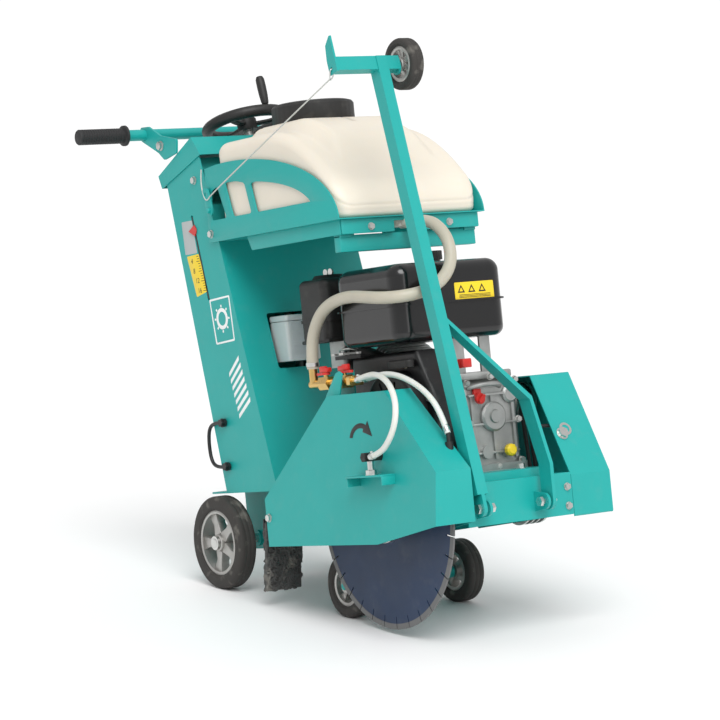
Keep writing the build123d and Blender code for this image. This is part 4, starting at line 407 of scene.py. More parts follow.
def wheel(name, body, outward, radius, width, rim_radius, spokes, hub_radius):
    """A solid tyre with rounded shoulders on a cast rim with tapered spokes and a hub."""
    centre = middle_in_chassis(name + "_tyre")
    axis = (0, outward, 0)
    half = width / 2
    shoulder = min(9, (radius - rim_radius) * 0.4)
    tread = [(rim_radius, -half + 4), (rim_radius + 5, -half), (radius - shoulder, -half)]
    tread += [(radius - shoulder + shoulder * math.sin(a), -half + shoulder - shoulder * math.cos(a))
              for a in (0.4, 0.8, 1.2, 1.57)]
    tread += [(radius, -half * 0.3), (radius - 0.6, -half * 0.3 + 1), (radius, -half * 0.3 + 2)]
    profile = tread + [(r, -h) for r, h in reversed(tread)]
    tyre = Shape()
    tyre.lathe(profile + [profile[0]], centre, axis, 96)
    tyre.piece(name + "_tyre_detail", body, RUBBER, "solid_tyre", replaces=[name + "_tyre"])

    rim = Shape()
    lip = rim_radius - 0.3
    band = [(lip, -half + 4), (lip, half - 4), (lip - 3, half - 2.5), (lip - 7, half - 4),
            (lip - 5, half - 8), (lip - 6, 0), (lip - 5, -half + 8), (lip - 7, -half + 4),
            (lip - 3, -half + 2.5), (lip, -half + 4)]
    rim.lathe(band, centre, axis, 72)
    bore = hub_radius - 7.5
    boss = [(bore, -half + 2.5), (hub_radius, -half + 2.5), (hub_radius + 1.5, 0), (hub_radius, half - 4),
            (hub_radius - 2, half - 2), (bore, half - 2), (bore, -half + 2.5)]
    rim.lathe(boss, centre, axis, 40)
    reach = lip - 5
    for k in range(spokes):
        part = bmesh.new()
        corners = []
        for r, wide, deep in ((hub_radius - 1, 0.30 * rim_radius / 2 + 2, half - 8),
                              ((hub_radius + reach) / 2, 0.2 * rim_radius / 2 + 2, half - 11),
                              (reach + 1, 0.34 * rim_radius / 2 + 3, half - 9)):
            corners.append([part.verts.new((r, side * wide, up * deep))
                            for side, up in ((-1, -1), (1, -1), (1, 1), (-1, 1))])
        for one, two in zip(corners, corners[1:]):
            for j in range(4):
                part.faces.new((one[j], one[(j + 1) % 4], two[(j + 1) % 4], two[j]))
        part.faces.new(corners[0])
        part.faces.new(corners[-1])
        bmesh.ops.recalc_face_normals(part, faces=part.faces)
        bmesh.ops.bevel(part, geom=part.edges[:], offset=1.6, segments=2, affect="EDGES", profile=0.5)
        spin = Matrix.Rotation(math.radians(360 * (k + 0.5) / spokes), 4, "Z")
        rim.take(part, CHASSIS @ Matrix.Translation(Vector(centre)) @ upright_to(axis) @ spin)
    rim.piece(name + "_rim_detail", body, RIM, "cast_aluminium", replaces=[name + "_rim"])


def make_wheels():
    for side, outward in (("left", 1), ("right", -1)):
        wheel("rear_" + side, f"rear_{side}_wheel", outward, *REAR_WHEEL)
        wheel("front_" + side, f"front_{side}_wheel", outward, *FRONT_WHEEL)
    wheel("guide", "guide_wheel", -1, *GUIDE_WHEEL)


# ---------------------------------------------------------------- tank and cradle

TANK_REAR, TANK_FRONT, TANK_HALF, TANK_BOTTOM = 99, 555, 177, 645
TANK_EDGE = 26
TANK_FOOT = 12
TANK_BELLY = 1.2
LID_CENTRE = (232, 0, 872)
OUTLET = (530, -10)


def tank_top(u, v):
    """Height of the tank's moulded top: flat at the rear, a raised crown, then a long fall forwards."""
    fall = max(0.0, u - 285) / 268
    base = 849 - 150 * fall**2.1
    crown = 872 - 66 * (max(0.0, u - 335) / 150) ** 1.35
    along = smooth_step(150, 172, u) * smooth_step(505, 440, u)
    across = smooth_step(124, 98, abs(v))
    return base + max(0.0, crown - base) * along * across


def make_tank():
    """The moulded tank as rings of points from its top down to its foot, and its lid."""
    middle_u = (TANK_REAR + TANK_FRONT) / 2
    half_u = (TANK_FRONT - TANK_REAR) / 2

    def outline(step):
        """Footprint moved in by a step, always with the same number of points."""
        a, b = half_u - step, TANK_HALF - step
        r = max(1.0, 34 - step)
        spots = []
        corners = ((1, 1, 0), (-1, 1, 90), (-1, -1, 180), (1, -1, 270))
        for sx, sy, start in corners:
            spots += arc((sx * (a - r), sy * (b - r)), r, start, start + 90, 8)
            last = spots[-1]
            nx, ny, _ = corners[(corners.index((sx, sy, start)) + 1) % 4]
            turn = math.radians(start + 90)
            target = (nx * (a - r) + r * math.cos(turn), ny * (b - r) + r * math.sin(turn))
            for k in range(1, 22):
                t = k / 22
                spots.append((last[0] * (1 - t) + target[0] * t, last[1] * (1 - t) + target[1] * t))
        return [(middle_u + x, y) for x, y in spots]

    tank = Shape()
    part = bmesh.new()
    rings = []
    for k in range(10, -1, -1):
        edge = TANK_EDGE * (1 - math.cos(math.pi / 2 * k / 10))
        drop = TANK_EDGE * (1 - math.sin(math.pi / 2 * k / 10))
        rings.append([(u, v, tank_top(u, v) - drop) for u, v in outline(edge)])
    inner = []
    for step in (36, 46, 58, 70, 82, 94, 106, 118, 130, 142, 154, 164, 172):
        inner.append([(u, v, tank_top(u, v)) for u, v in outline(step)])
    rings = list(reversed(inner)) + rings
    border = outline(0)
    for t in (0.12, 0.3, 0.5, 0.7, 0.88):
        ring = []
        for u, v in border:
            top = tank_top(u, v) - TANK_EDGE
            belly = TANK_BELLY * math.sin(math.pi * t)
            scale = 1 - (TANK_BELLY - belly) / TANK_HALF
            height = top + (TANK_BOTTOM + TANK_FOOT - top) * t
            ring.append((middle_u + (u - middle_u) * scale, v * scale, height))
        rings.append(ring)
    for k in range(5):
        turn = math.pi / 2 * k / 4
        step = TANK_FOOT * (1 - math.cos(turn)) + TANK_BELLY
        height = TANK_BOTTOM + TANK_FOOT - TANK_FOOT * math.sin(turn)
        rings.append([(u, v, height) for u, v in outline(step)])
    made = [[part.verts.new(spot) for spot in ring] for ring in rings]
    count = len(border)
    for one, two in zip(made, made[1:]):
        for k in range(count):
            part.faces.new((one[k], one[(k + 1) % count], two[(k + 1) % count], two[k]))
    part.faces.new(made[0])
    part.faces.new(made[-1])
    bmesh.ops.recalc_face_normals(part, faces=part.faces)
    tank.take(part, CHASSIS)
    # Neck under the lid, drain outlet below the front with its spigot
    neck = [(60, -10), (76, -10), (76, 20), (73, 24), (60, 24), (60, -10)]
    tank.lathe(neck, (232, 0, 871), (0, 0, 1), 64)
    tank.lathe([(0.2, 0), (16, 0), (16, 16), (18, 24), (0.2, 24)], (*OUTLET, 622), (0, 0, 1), 32)
    tank.curve([(530, -10, 628), (545, -10, 628), (567, -10, 628)], 10.5)
    tank.piece("water_tank_moulding", "chassis", CREAM, "tank_plastic", sharp=60, replaces=["water_tank"])

    lid = Shape()
    profile = [(62, 0.6), (86.5, 0.6), (88, 3), (88, 36), (84, 41.5), (76, 44), (60, 42), (56, 38),
               (0.3, 38.5)]
    lid.lathe(profile, LID_CENTRE, (0, 0, 1), 144, lobes=36, depth=0.25)
    lid.piece("tank_lid_detail", "tank_lid", BLACK_PLASTIC, "black_plastic", replaces=["tank_lid"])


def make_cradle():
    """Sheet cradle: two side plates with an arched top edge and curved windows, a floor and lips."""
    cradle = Shape()
    low = TANK_BOTTOM - 3
    front = TANK_FRONT + 4
    crest = arc((150, low), (front - 150, 163), 0, 90, 26)
    outline = [(60, low), (front, low), *crest[1:], (110, 804), (67, 800)]
    inner = arc((140, low + 24), (front - 226, 92), 14, 68, 16)
    windows = [
        rounded([(80, 688), (86, 750), (112, 758), (139, 688)], 8),
        rounded([(166, 688), (144, 762), (186, 761), (220, 754), (238, 688)], 8),
        rounded([(260, 688), (244, 750), *[(u, w) for u, w in reversed(inner) if u > 262], (450, 688)], 6),
    ]
    for side in (-1, 1):
        lower, upper = sorted((side * 180, side * 183))
        cradle.plate([outline, *windows], lower, upper)
        lower, upper = sorted((side * 170, side * 173))
        cradle.plate([[(210, 612), (196, low), (546, low), (546, 612)]], lower, upper)
        lower, upper = sorted((side * 160, side * 180.4))
        cradle.block((60, lower, low), (200, upper, low + 2.5), 0.6)
    cradle.plate([[(84, -182.6), (front, -182.6), (front, 182.6), (84, 182.6)],
                  arc(OUTLET, 18, 0, 345, 23)], low, low + 2.5, plane="top")
    notch = [(-171, 612), (-171, low), (171, low), (171, 612), (22, 612), (22, 634), (-42, 634), (-42, 612)]
    cradle.plate([rounded(notch, 3)], 547, 550, plane="front")
    cradle.block((515, -169, 577), (537, 169, 611), 1.5)
    cradle.block((515, -169, 606), (540, -140, 614), 1.5)
    cradle.block((515, 140, 606), (540, 169, 614), 1.5)
    # Cleat for the rope on the right-hand side
    cleat = rounded([(62, 758), (84, 758), (97, 712), (90, 697), (76, 699), (69, 712)], 7)
    cradle.plate([cleat, arc((73, 745), 4, 0, 340, 17)], -190, -187)
    cradle.hexagon((84, -190, 709), (0, -1, 0), 11, 5)
    cradle.block((78, -187.2, 703), (90, -182, 715), 1.0)
    cradle.piece("tank_cradle_sheet", "chassis", TEAL, "teal_paint", replaces=["tank_cradle"])
    hook = Shape()
    hook.curve([(500, 60, 610), (500, 60, 590), (500, 60, 560), (500, 64, 552), (500, 72, 556)], 3)
    hook.piece("tank_hook_rod", "chassis", BLACK_PAINT, "dark_steel")


# ---------------------------------------------------------------- hoses and rope


def cord(name, node, route, radius, material):
    """A free hose or rope as one smooth NURBS line along its route."""
    line = bpy.data.curves.new(name, "CURVE")
    line.dimensions = "3D"
    spline = line.splines.new("NURBS")
    spline.points.add(len(route) - 1)
    for point, spot in zip(spline.points, route):
        point.co = (*at(*spot), 1)
    spline.order_u = 3
    spline.use_endpoint_u = True
    spline.resolution_u = 12
    line.bevel_depth = radius / 1000
    line.bevel_resolution = 6
    line.use_fill_caps = True
    line.materials.append(material)
    piece = place(name, line)
    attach(piece, "chassis")
    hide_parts(node)


TANK_HOSE_RADIUS, JET_HOSE_RADIUS, ROPE_RADIUS = 12.5, 6, 1.5
TANK_HOSE_ROUTE = [
    (570, -10, 628), (616, -10, 627), (660, -11, 610), (694, -14, 574), (712, -28, 528), (721, -66, 494),
    (722, -112, 478), (712, -152, 473), (676, -177, 474), (624, -180, 480), (566, -177, 486),
    (508, -174, 483), (452, -172, 466), (414, -171, 430), (396, -170, 390), (394, -170, 350),
]
JET_OUTER_ROUTE = [
    (562, -179, 318), (604, -184, 325), (658, -198, 326), (714, -217, 316), (762, -236, 296),
    (792, -250, 264), (792, -257, 226), (764, -257, 192), (728, -254, 172), (690, -252, 166),
]
JET_INNER_ROUTE = [
    (562, -161, 318), (604, -158, 324), (654, -156, 324), (708, -153, 308), (758, -150, 280),
    (794, -149, 242), (811, -148, 198),
]
ROPE_ROUTE = [
    (643, -228, 913), (110, -195, 746), (76, -190, 728), (62, -189, 748), (57, -188, 776), (62, -187, 800),
]


def make_cords():
    """The three hoses with their clips, and the rope."""
    cord("tank_hose_line", "tank_hose", TANK_HOSE_ROUTE, TANK_HOSE_RADIUS, BEIGE_HOSE)
    cord("jet_hose_outer_line", "jet_hose_outer", JET_OUTER_ROUTE, JET_HOSE_RADIUS, WHITE_HOSE)
    cord("jet_hose_inner_line", "jet_hose_inner", JET_INNER_ROUTE, JET_HOSE_RADIUS, WHITE_HOSE)
    cord("rope_line", "rope", ROPE_ROUTE, ROPE_RADIUS, ROPE_CORE)
    clips = Shape()
    for route, radius in ((TANK_HOSE_ROUTE, TANK_HOSE_RADIUS), (JET_OUTER_ROUTE, JET_HOSE_RADIUS),
                          (JET_INNER_ROUTE, JET_HOSE_RADIUS)):
        for end, beside in ((0, 1), (-1, -2)):
            spot = Vector(route[end])
            way = (Vector(route[beside]) - spot).normalized()
            inner, outer = radius + 0.1, radius + 1.1
            ring = [(inner, 0), (outer, 0), (outer, 8), (inner, 8), (inner, 0)]
            clips.lathe(ring, spot + way * 5, way, 32)
            lug = spot + way * 9 + Vector((0, 0, outer + 1))
            clips.block(lug - Vector((3, 3, 2)), lug + Vector((3, 3, 2)), 0.6)
    clips.piece("hose_clips", "chassis", ZINC, "zinc_steel")


# ---------------------------------------------------------------- flap

FLAP_TOP = (252, 44)
FLAP_LENGTH, FLAP_THICK = 150, 12
FLAP_SPAN = (-229, -140)
STRANDS, STRAND_SEED, STRAND_STEP = 300, 7, 7


def hang(depth, v, drop):
    """A point of the flap, which hangs plumb: a depth behind its front face and a drop below its top."""
    u = FLAP_TOP[0] - drop * math.sin(PITCH) - depth * math.cos(PITCH)
    w = FLAP_TOP[1] - drop * math.cos(PITCH) + depth * math.sin(PITCH)
    return (u, v, w)


def make_flap():
    """Splash flap of matted rubber strands hanging behind the guard, under a clamp strip."""
    strands = Shape()
    centre = hang(FLAP_THICK / 2, sum(FLAP_SPAN) / 2, FLAP_LENGTH / 2)
    half = Vector((4, (FLAP_SPAN[1] - FLAP_SPAN[0]) / 2 - 1, FLAP_LENGTH / 2 - 2))
    strands.block(Vector(centre) - half, Vector(centre) + half, 2.0, turn=((0, 1, 0), math.degrees(PITCH)))
    chance = random.Random(STRAND_SEED)
    for _ in range(STRANDS):
        v = chance.uniform(FLAP_SPAN[0] + 3, FLAP_SPAN[1] - 3)
        drop = chance.uniform(8, FLAP_LENGTH - 5)
        depth = chance.choice((1.5, FLAP_THICK - 1.5))
        heading = chance.uniform(0, 2 * math.pi)
        spots = [hang(depth, v, drop)]
        for _ in range(5):
            heading += chance.uniform(-1.2, 1.2)
            v = max(FLAP_SPAN[0] + 2, min(FLAP_SPAN[1] - 2, v + STRAND_STEP * math.cos(heading)))
            drop = max(4, min(FLAP_LENGTH - 3, drop + STRAND_STEP * math.sin(heading)))
            spots.append(hang(depth + chance.uniform(-1.5, 1.5), v, drop))
        strands.curve(spots, chance.uniform(2.0, 3.0))
    strands.piece("splash_flap_strands", "chassis", FLAP, "flap_rubber", sharp=60, replaces=["guard_flap"])
    strip = Shape()
    low, high = Vector((238, FLAP_SPAN[0], 30)), Vector((241.5, FLAP_SPAN[1], 50))
    strip.block(low, high, 0.8, turn=((0, 1, 0), math.degrees(PITCH)))
    for v in (-215, -185, -155):
        strip.hexagon((238, v, 41), (-1, 0, 0.15), 11, 5)
    strip.piece("flap_clamp_strip", "chassis", BLACK_PAINT, "dark_steel")


# ---------------------------------------------------------------- handwheel, grips, lashing loop, tool box

SPINDLE_LEAN = math.radians(13)
SPINDLE_UP = Vector((-math.sin(SPINDLE_LEAN), 0, math.cos(SPINDLE_LEAN)))
SPINDLE_OUT = Vector((math.cos(SPINDLE_LEAN), 0, math.sin(SPINDLE_LEAN)))
HANDWHEEL = Vector((-33, 0, 905))
HANDWHEEL_RADIUS, HANDWHEEL_TUBE = 88, 12.8


def make_handwheel():
    """The handwheel's rim, hub and ribbed spokes, its spinner knob and its nut."""
    rim = Shape()
    section = []
    for k in range(20):
        a = 2 * math.pi * k / 20
        section.append((HANDWHEEL_RADIUS + HANDWHEEL_TUBE * math.cos(a), HANDWHEEL_TUBE * math.sin(a)))
    rim.lathe([*section, section[0]], HANDWHEEL, SPINDLE_UP, 120)
    rim.lathe([(11.1, -16), (21, -16), (22, -14), (22, 8), (19, 10), (11.1, 10), (11.1, -16)], HANDWHEEL,
              SPINDLE_UP, 40)
    for k in range(3):
        angle = math.radians(60 + 120 * k)
        out = SPINDLE_OUT * math.cos(angle) + LEFT * math.sin(angle)
        spots = [HANDWHEEL + out * r + SPINDLE_UP * h for r, h in ((18, -3), (38, -4), (60, -3), (80, 0))]
        for shift in (-4.5, 0, 4.5):
            side = SPINDLE_UP.cross(out) * shift
            rim.curve([spot + side for spot in spots], 4.2)
    rim.piece("handwheel_rim", "lift_spindle", BLACK_PLASTIC, "black_plastic", replaces=["handwheel"])
    knob = Shape()
    foot = HANDWHEEL + SPINDLE_OUT * HANDWHEEL_RADIUS + SPINDLE_UP * 14
    knob.lathe([(0.2, -24), (4, -24), (4, 0), (7, 0), (8.2, 4), (9.6, 20), (10, 40), (9.6, 56), (7, 62.5),
                (3, 64), (0.2, 64)], foot, SPINDLE_UP, 36)
    knob.piece("handwheel_knob_detail", "spinner_knob", BLACK_PLASTIC, "black_plastic",
               replaces=["handwheel_knob"])
    nut = Shape()
    nut.hexagon(HANDWHEEL + SPINDLE_UP * 11, SPINDLE_UP, 16, 7)
    nut.piece("handwheel_nut", "lift_spindle", ZINC, "zinc_steel")


def make_grips():
    """Ribbed grips with a flange at their inner ends and a cap at their outer ends."""
    grips = Shape()
    for side in (-1, 1):
        profile = [(12.6, 0), (15.5, 0), (17, 2)]
        for k in range(16):
            start = 6 + k * 6.2
            profile += [(17, start), (15.9, start + 1), (15.9, start + 2.2), (17, start + 3.2)]
        profile += [(16.6, 110), (22.6, 112.5), (22.8, 118), (20, 119.6), (12.6, 119.6), (12.6, 0)]
        grips.lathe(profile, (-168, side * 350, 903), (0, -side, 0), 48)
        cap = [(0.2, 0), (12, 0), (13.5, 0.8), (12.6, 3), (0.2, 3)]
        grips.lathe(cap, (-168, side * 350, 903), (0, -side, 0), 48)
    grips.piece("grips_ribbed", "handlebar", GRIP, "grip_rubber", replaces=["handlebar_grips"])


def make_strap_loop():
    """The lashing loop on the column's right-hand side and its two bolts."""
    loop = Shape()
    v = -180
    loop.curve([(42, v, 256), (10, v, 258), (-20, v, 248), (-27, v, 209), (-20, v, 170), (10, v, 160),
                (42, v, 162)], 4)
    for w in (256, 162):
        loop.hexagon((42, v - 3, w), (0, -1, 0), 15, 6)
        loop.lathe([(0.2, -3), (9, -3), (9, 4), (0.2, 4)], (42, v, w), (0, -1, 0), 24)
    loop.piece("lashing_loop", "chassis", BLACK_PAINT, "dark_steel", replaces=["strap_loop"])


def make_tool_box():
    """The pale moulded box between the column and the engine, with its lid, cap and ribs."""
    box = Shape()
    u, v, w = middle_in_chassis("tool_box")
    outline = [(-35, -41), (35, -41), (35, 41), (-35, 41)]
    box.plate([rounded([(u + a, v + b) for a, b in outline], 9)], w - 49, w + 36, 2.5, plane="top")
    box.plate([rounded([(u + a * 1.02, v + b * 1.01) for a, b in outline], 9)], w + 36.4, w + 49.5, 3.5,
              plane="top")
    box.lathe([(0.2, 0), (13, 0), (13, 12), (10, 14), (0.2, 14)], (u + 12, v, w + 35.8), (0, 0, 1), 32)
    for k in (-1, 0, 1):
        box.block((u + 34, v - 30, w + k * 26 - 9), (u + 35.8, v + 30, w + k * 26 + 9), 0.8)
    box.piece("tool_box_moulding", "chassis", PALE_BOX, "hose_white", replaces=["tool_box"])


# ---------------------------------------------------------------- column, guards, decals

COLUMN_SIDE = -175
DECAL_THICK, DECAL_EDGE = 0.1, 0.02
EMBLEM_THICK, EMBLEM_EDGE = 0.3, 0.05
EMBLEM_CENTRE = (69, 478)
SCALE_LEAN = 0.27


def decal(name, outlines, lift, material):
    """A thin printed film on the right-hand side of the column, also used for a strip of painted shade along
    the pointer's slot.
    """
    film = Shape()
    for outline in outlines:
        film.plate([outline], COLUMN_SIDE - lift - DECAL_THICK, COLUMN_SIDE - lift, DECAL_EDGE)
    film.piece(name, "chassis", material, "teal_paint")


def make_decals():
    """The depth scale beside the pointer's slot, the disc emblem and the stripes on the column."""
    decal("depth_label_upper", [rounded([(-56, 626), (-7, 626), (-16, 698), (-60, 698)], 3)], 0, GREY)
    decal("depth_scale_ground", [rounded([(-25, 532), (21, 541), (-2, 624), (-51, 622)], 3)], 0, YELLOW)
    # Black strip along the pointer's slot: painted shade standing in for the dark of the slot's opening
    decal("slot_painted_shade", [[(20, 525), (25, 525), (-11, 705), (-16, 705)]], 0, INK)
    ticks = []
    for k in range(15):
        w = 543 + k * 5.4
        end = 17 - (w - 543) * SCALE_LEAN
        start = end - (13 if k % 4 == 0 else 8)
        ticks.append([(start, w), (end, w), (end, w + 1.3), (start, w + 1.3)])
    decal("depth_scale_marks", ticks, DECAL_THICK, INK)
    for k, number in enumerate(("16", "12", "8", "4")):
        text = bpy.data.curves.new("scale_number_" + number, "FONT")
        text.body = number
        text.size = 0.016
        text.extrude = 0.00005
        text.materials.append(INK)
        w = 540 + k * 21.6
        spot = at(-18 - (w - 540) * SCALE_LEAN, COLUMN_SIDE - 0.25, w)
        printed = place("scale_number_" + number, text)
        printed.matrix_world = Matrix.Translation(spot) @ Matrix((FORWARD, UP, -LEFT)).transposed().to_4x4()
        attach(printed, "chassis")
    frame_outer = rounded([(36, 424), (112, 428), (106, 526), (24, 522)], 4)
    frame_inner = rounded([(40, 428), (108, 432), (102, 522), (28, 518)], 3)
    disc = [arc(EMBLEM_CENTRE, radius, 0, 348, 30) for radius in (23, 15)]
    parts = [[frame_outer, frame_inner], disc]
    for k in range(8):
        a = math.radians(45 * k)
        parts.append([[(EMBLEM_CENTRE[0] + r * math.cos(a + t), EMBLEM_CENTRE[1] + r * math.sin(a + t))
                       for r, t in ((24.5, -0.09), (30, -0.07), (30, 0.07), (24.5, 0.09))]])
    emblem = Shape()
    for outlines in parts:
        emblem.plate(outlines, COLUMN_SIDE - EMBLEM_THICK, COLUMN_SIDE, EMBLEM_EDGE)
    emblem.piece("disc_emblem", "chassis", WHITE, "teal_paint")
    stripes = []
    for k in range(7):
        low = 262 + k * 15
        near, far = 100 - k * 4, 150 - k * 5
        stripes.append([(near, low), (far, low + 34), (far, low + 44), (near, low + 9)])
    decal("column_stripes", stripes, 0, WHITE)


def make_valve_detail():
    """Moulded handles on the valve levers, the gusset that carries them and the rope's hook."""
    for name, u, way in (("valve_lever_main", 440, -1), ("valve_lever_jet", 506, 1)):
        handle = Shape()
        handle.block((u - 14, -176.5, 340.2), (u + 14, -163.5, 350), 2.4)
        handle.block((u + way * 8 - 9, -175, 340.2), (u + way * 8 + 9, -165, 353), 2)
        handle.piece(name + "_handle", name, RED, "red_plastic")
    gusset = Shape()
    outline = [(456, 262), (500, 262), (528, 334), (516, 340), (504, 336), (462, 292)]
    gusset.plate([rounded(outline, 3)], -190, -187)
    gusset.block((458, -190, 264), (500, -160, 267), 0.8)
    gusset.piece("valve_gusset", "chassis", TEAL, "teal_paint")
    hook = Shape()
    hook.curve([(654, -224, 932), (654, -232, 932), (651, -233, 924), (645, -230, 914), (641, -226, 911),
                (644, -222, 916), (652, -222, 926)], 1.6)
    hook.piece("rope_hook", "guide_arm", ZINC, "zinc_steel")


GUARD_SLOPE = 0.117


def make_guard_detail():
    """Shelf and nut of the outer water elbow, the direction arrow, and an eye bolt and rod at the front."""
    lean = math.atan(GUARD_SLOPE)

    def on_guard(u, w, lift=0.0):
        """A point on the leaning outer plate."""
        return Vector((u, -236 + GUARD_SLOPE * w - lift, w))

    shelf = Shape()
    centre = on_guard(662, 128)
    shelf.block(centre + Vector((-62, -34, -2)), centre + Vector((62, 1, 2)), 0.8)
    for side in (-1, 1):
        part = centre + Vector((side * 60, -16, -10))
        shelf.block(part - Vector((2, 16, 9)), part + Vector((2, 17, 10)), 0.8)
    shelf.piece("elbow_shelf", "chassis", TEAL, "teal_paint")
    nut = Shape()
    nut.hexagon(centre + Vector((8, -18, 2)), (0, 0, 1), 19, 9)
    nut.lathe([(0.2, 0), (6.5, 0), (6.5, 20), (0.2, 20)], centre + Vector((8, -18, 9)), (0, 0, 1), 24)
    nut.piece("elbow_nut", "chassis", ZINC, "zinc_steel")
    arrow = Shape()
    outline = [*arc((603, 204), (37, 30), 176, 58, 20), (628, 238), (646, 206), (612, 216),
               *arc((603, 204), (26, 20), 66, 176, 18)]
    upright = Matrix(((1, 0, 0, 0), (0, 0, -1, 0), (0, 1, 0, 0), (0, 0, 0, 1)))
    matrix = Matrix.Translation(on_guard(0, 0, 0.35)) @ Matrix.Rotation(-lean, 4, "X") @ upright
    arrow.plate([outline], -0.1, 0.1, DECAL_EDGE, plane=matrix)
    arrow.piece("turning_arrow", "chassis", INK, "dark_steel")
    bolt = Shape()
    eye = Vector((775, 164, 178))
    bolt.lathe([(9, 0), (14, 0), (14, 7), (9, 7), (9, 0)], eye, (1, 0, 0.5), 32)
    bolt.hexagon(eye + Vector((-4, 0, -14)), (0.9, 0, 0.45), 14, 8)
    bolt.block((772, 172, 168), (782, 196, 176), 2)
    bolt.piece("guard_eye_bolt", "chassis", ZINC, "zinc_steel")
    rod = Shape()
    rod.curve([(770, 176, 186), (768, 140, 190), (766, 112, 192), (764, 88, 190)], 3.5)
    rod.piece("guard_rod", "chassis", BLACK_PAINT, "dark_steel")


# ---------------------------------------------------------------- engine


def make_engine_detail():
    """Bolts, ribs, labels, linkages and ducting that make the engine read as one."""
    steel = Shape()
    for v, w in ((-28, 128), (92, 128), (-28, 290), (92, 290), (-28, 210), (92, 210), (32, 300), (32, 120)):
        steel.hexagon((722, v, w), (1, 0, 0), 11, 6)
    for angle in range(0, 360, 60):
        a = math.radians(angle + 15)
        steel.hexagon((600 + 100 * math.cos(a), -100.6, 242 + 100 * math.sin(a)), (0, -1, 0), 10, 5)
    for u, v in ((520, -90), (520, 60), (760, -90), (760, 60)):
        steel.hexagon((u, v, 112), (0, 0, 1), 15, 8)
    steel.curve([(474, -110, 378), (474, -126, 384), (452, -132, 384), (430, -126, 382),
                 (410, -110, 378)], 1.8)
    steel.curve([(430, -112, 378), (420, -104, 390), (404, -92, 392)], 1.6)
    steel.piece("engine_bolts_and_links", "chassis", ZINC, "zinc_steel")

    cast = Shape()
    for w in (146, 204, 262):
        cast.block((716, -26, w), (724, 90, w + 5), 1.5)
    hub = [(0.2, 0), (30, 0), (30, 8), (26, 12), (14, 12), (12, 16), (0.2, 16)]
    cast.lathe(hub, (716, 32, 220), (1, 0, 0), 40)
    cast.lathe([(0.2, 0), (18, 0), (18, 6), (14, 10), (0.2, 10)], (716, 78, 262), (1, 0, 0), 32)
    cast.block((640, -34, 296), (712, 96, 312), 4)
    cast.curve([(716, -20, 280), (730, -8, 284), (734, 20, 286), (730, 46, 284), (716, 58, 280)], 5)
    cast.piece("crankcase_ribs", "chassis", CAST, "cast_aluminium")

    dark = Shape()
    dark.block((300, -130, 402), (404, -30, 410), 3)
    dark.lathe([(0.2, 0), (34, 0), (36, 6), (30, 14), (0.2, 14)], (350, -80, 528), (0, 0, 1), 40)
    dark.curve([(386, -78, 372), (420, -74, 372), (450, -60, 366), (470, -50, 352)], 17)
    dark.curve([(392, 42, 412), (392, 42, 380), (410, 44, 362), (430, 44, 352)], 15)
    for k in range(5):
        dark.block((312, -129.6, 424 + k * 20), (388, -126, 430 + k * 20), 1)
    dark.piece("intake_and_exhaust", "chassis", BLACK_PLASTIC, "black_plastic")

    yellow = Shape()
    label = rounded([(-10, 458), (87, 458), (87, 493), (-10, 493)], 3)
    yellow.plate([label], 690.1, 690.6, 0.05, plane="front")
    # The oil filler's cap, below the label on the front of the crankcase
    yellow.lathe([(0.2, 0), (12, 0), (12, 9), (8, 13), (0.2, 13)], (727, 60, 150), (1, 0, 0), 28, lobes=10,
                 depth=0.6)
    yellow.piece("tank_label", "chassis", YELLOW, "black_gloss")
    marks = Shape()
    for v in (6, 32, 58):
        marks.plate([[(v - 9, 472), (v + 9, 472), (v, 488)], [(v - 5, 474.6), (v, 483.5), (v + 5, 474.6)]],
                    690.6, 691, 0.03, plane="front")
    for k in range(3):
        low, high = 462 + k * 2.6, 463 + k * 2.6
        marks.plate([[(0, low), (78, low), (78, high), (0, high)]], 690.6, 691, 0.03, plane="front")
    marks.piece("tank_label_marks", "chassis", INK, "black_gloss")
    red = Shape()
    red.block((717, -12, 262), (725, 6, 278), 2)
    red.block((700, -30, 322), (722, -8, 340), 2)
    red.lathe([(0.2, 0), (7, 0), (8, 10), (0.2, 12)], (690, -34, 336), (0, -1, 0.3), 20)
    red.piece("wiring_connectors", "chassis", RED, "red_plastic")


# ---------------------------------------------------------------- carried-over nodes

EDGE_WIDTH, EDGE_ANGLE = 0.0009, 40
KEPT = {
    TEAL: ("chassis_frame", "engine_base_plate", "blade_guard", "belt_guard", "column_shell", "console_cover",
           "undercarriage", "guide_arm", "handlebar"),
    BLACK_PAINT: ("fan_housing", "recoil_cover", "muffler"),
    BLACK_PLASTIC: ("recoil_grip", "fuel_cap", "air_cleaner", "jet_elbows"),
    BLACK_GLOSS: ("fuel_tank",),
    CAST: ("arbor_bearings", "crankcase", "cylinder", "carburettor"),
    ZINC: ("fixed_axles", "outer_flange", "arbor_shaft", "crankshaft", "lift_screw", "lift_nut", "fasteners",
           "throttle_lever", "choke_lever"),
    BRASS: ("valve_manifold",),
    RED: ("valve_lever_main", "valve_lever_jet", "engine_switch", "depth_pointer"),
    BELT: ("drive_belts",),
}


def paint(node, material):
    """Give every slot of a node one material."""
    for slot in node.material_slots:
        slot.material = material


def dress_nodes():
    """Procedural materials and broken edges on the nodes whose CAD shape stays."""
    for material, names in KEPT.items():
        for name in names:
            node = nodes[name]
            paint(node, material)
            edge = node.modifiers.new("broken_edges", "BEVEL")
            edge.width = EDGE_WIDTH
            edge.segments = 2
            edge.limit_method = "ANGLE"
            edge.angle_limit = math.radians(EDGE_ANGLE)
            edge.harden_normals = True
    paint(nodes["saw_blade"], blade_material())


# ---------------------------------------------------------------- camera, floor and light

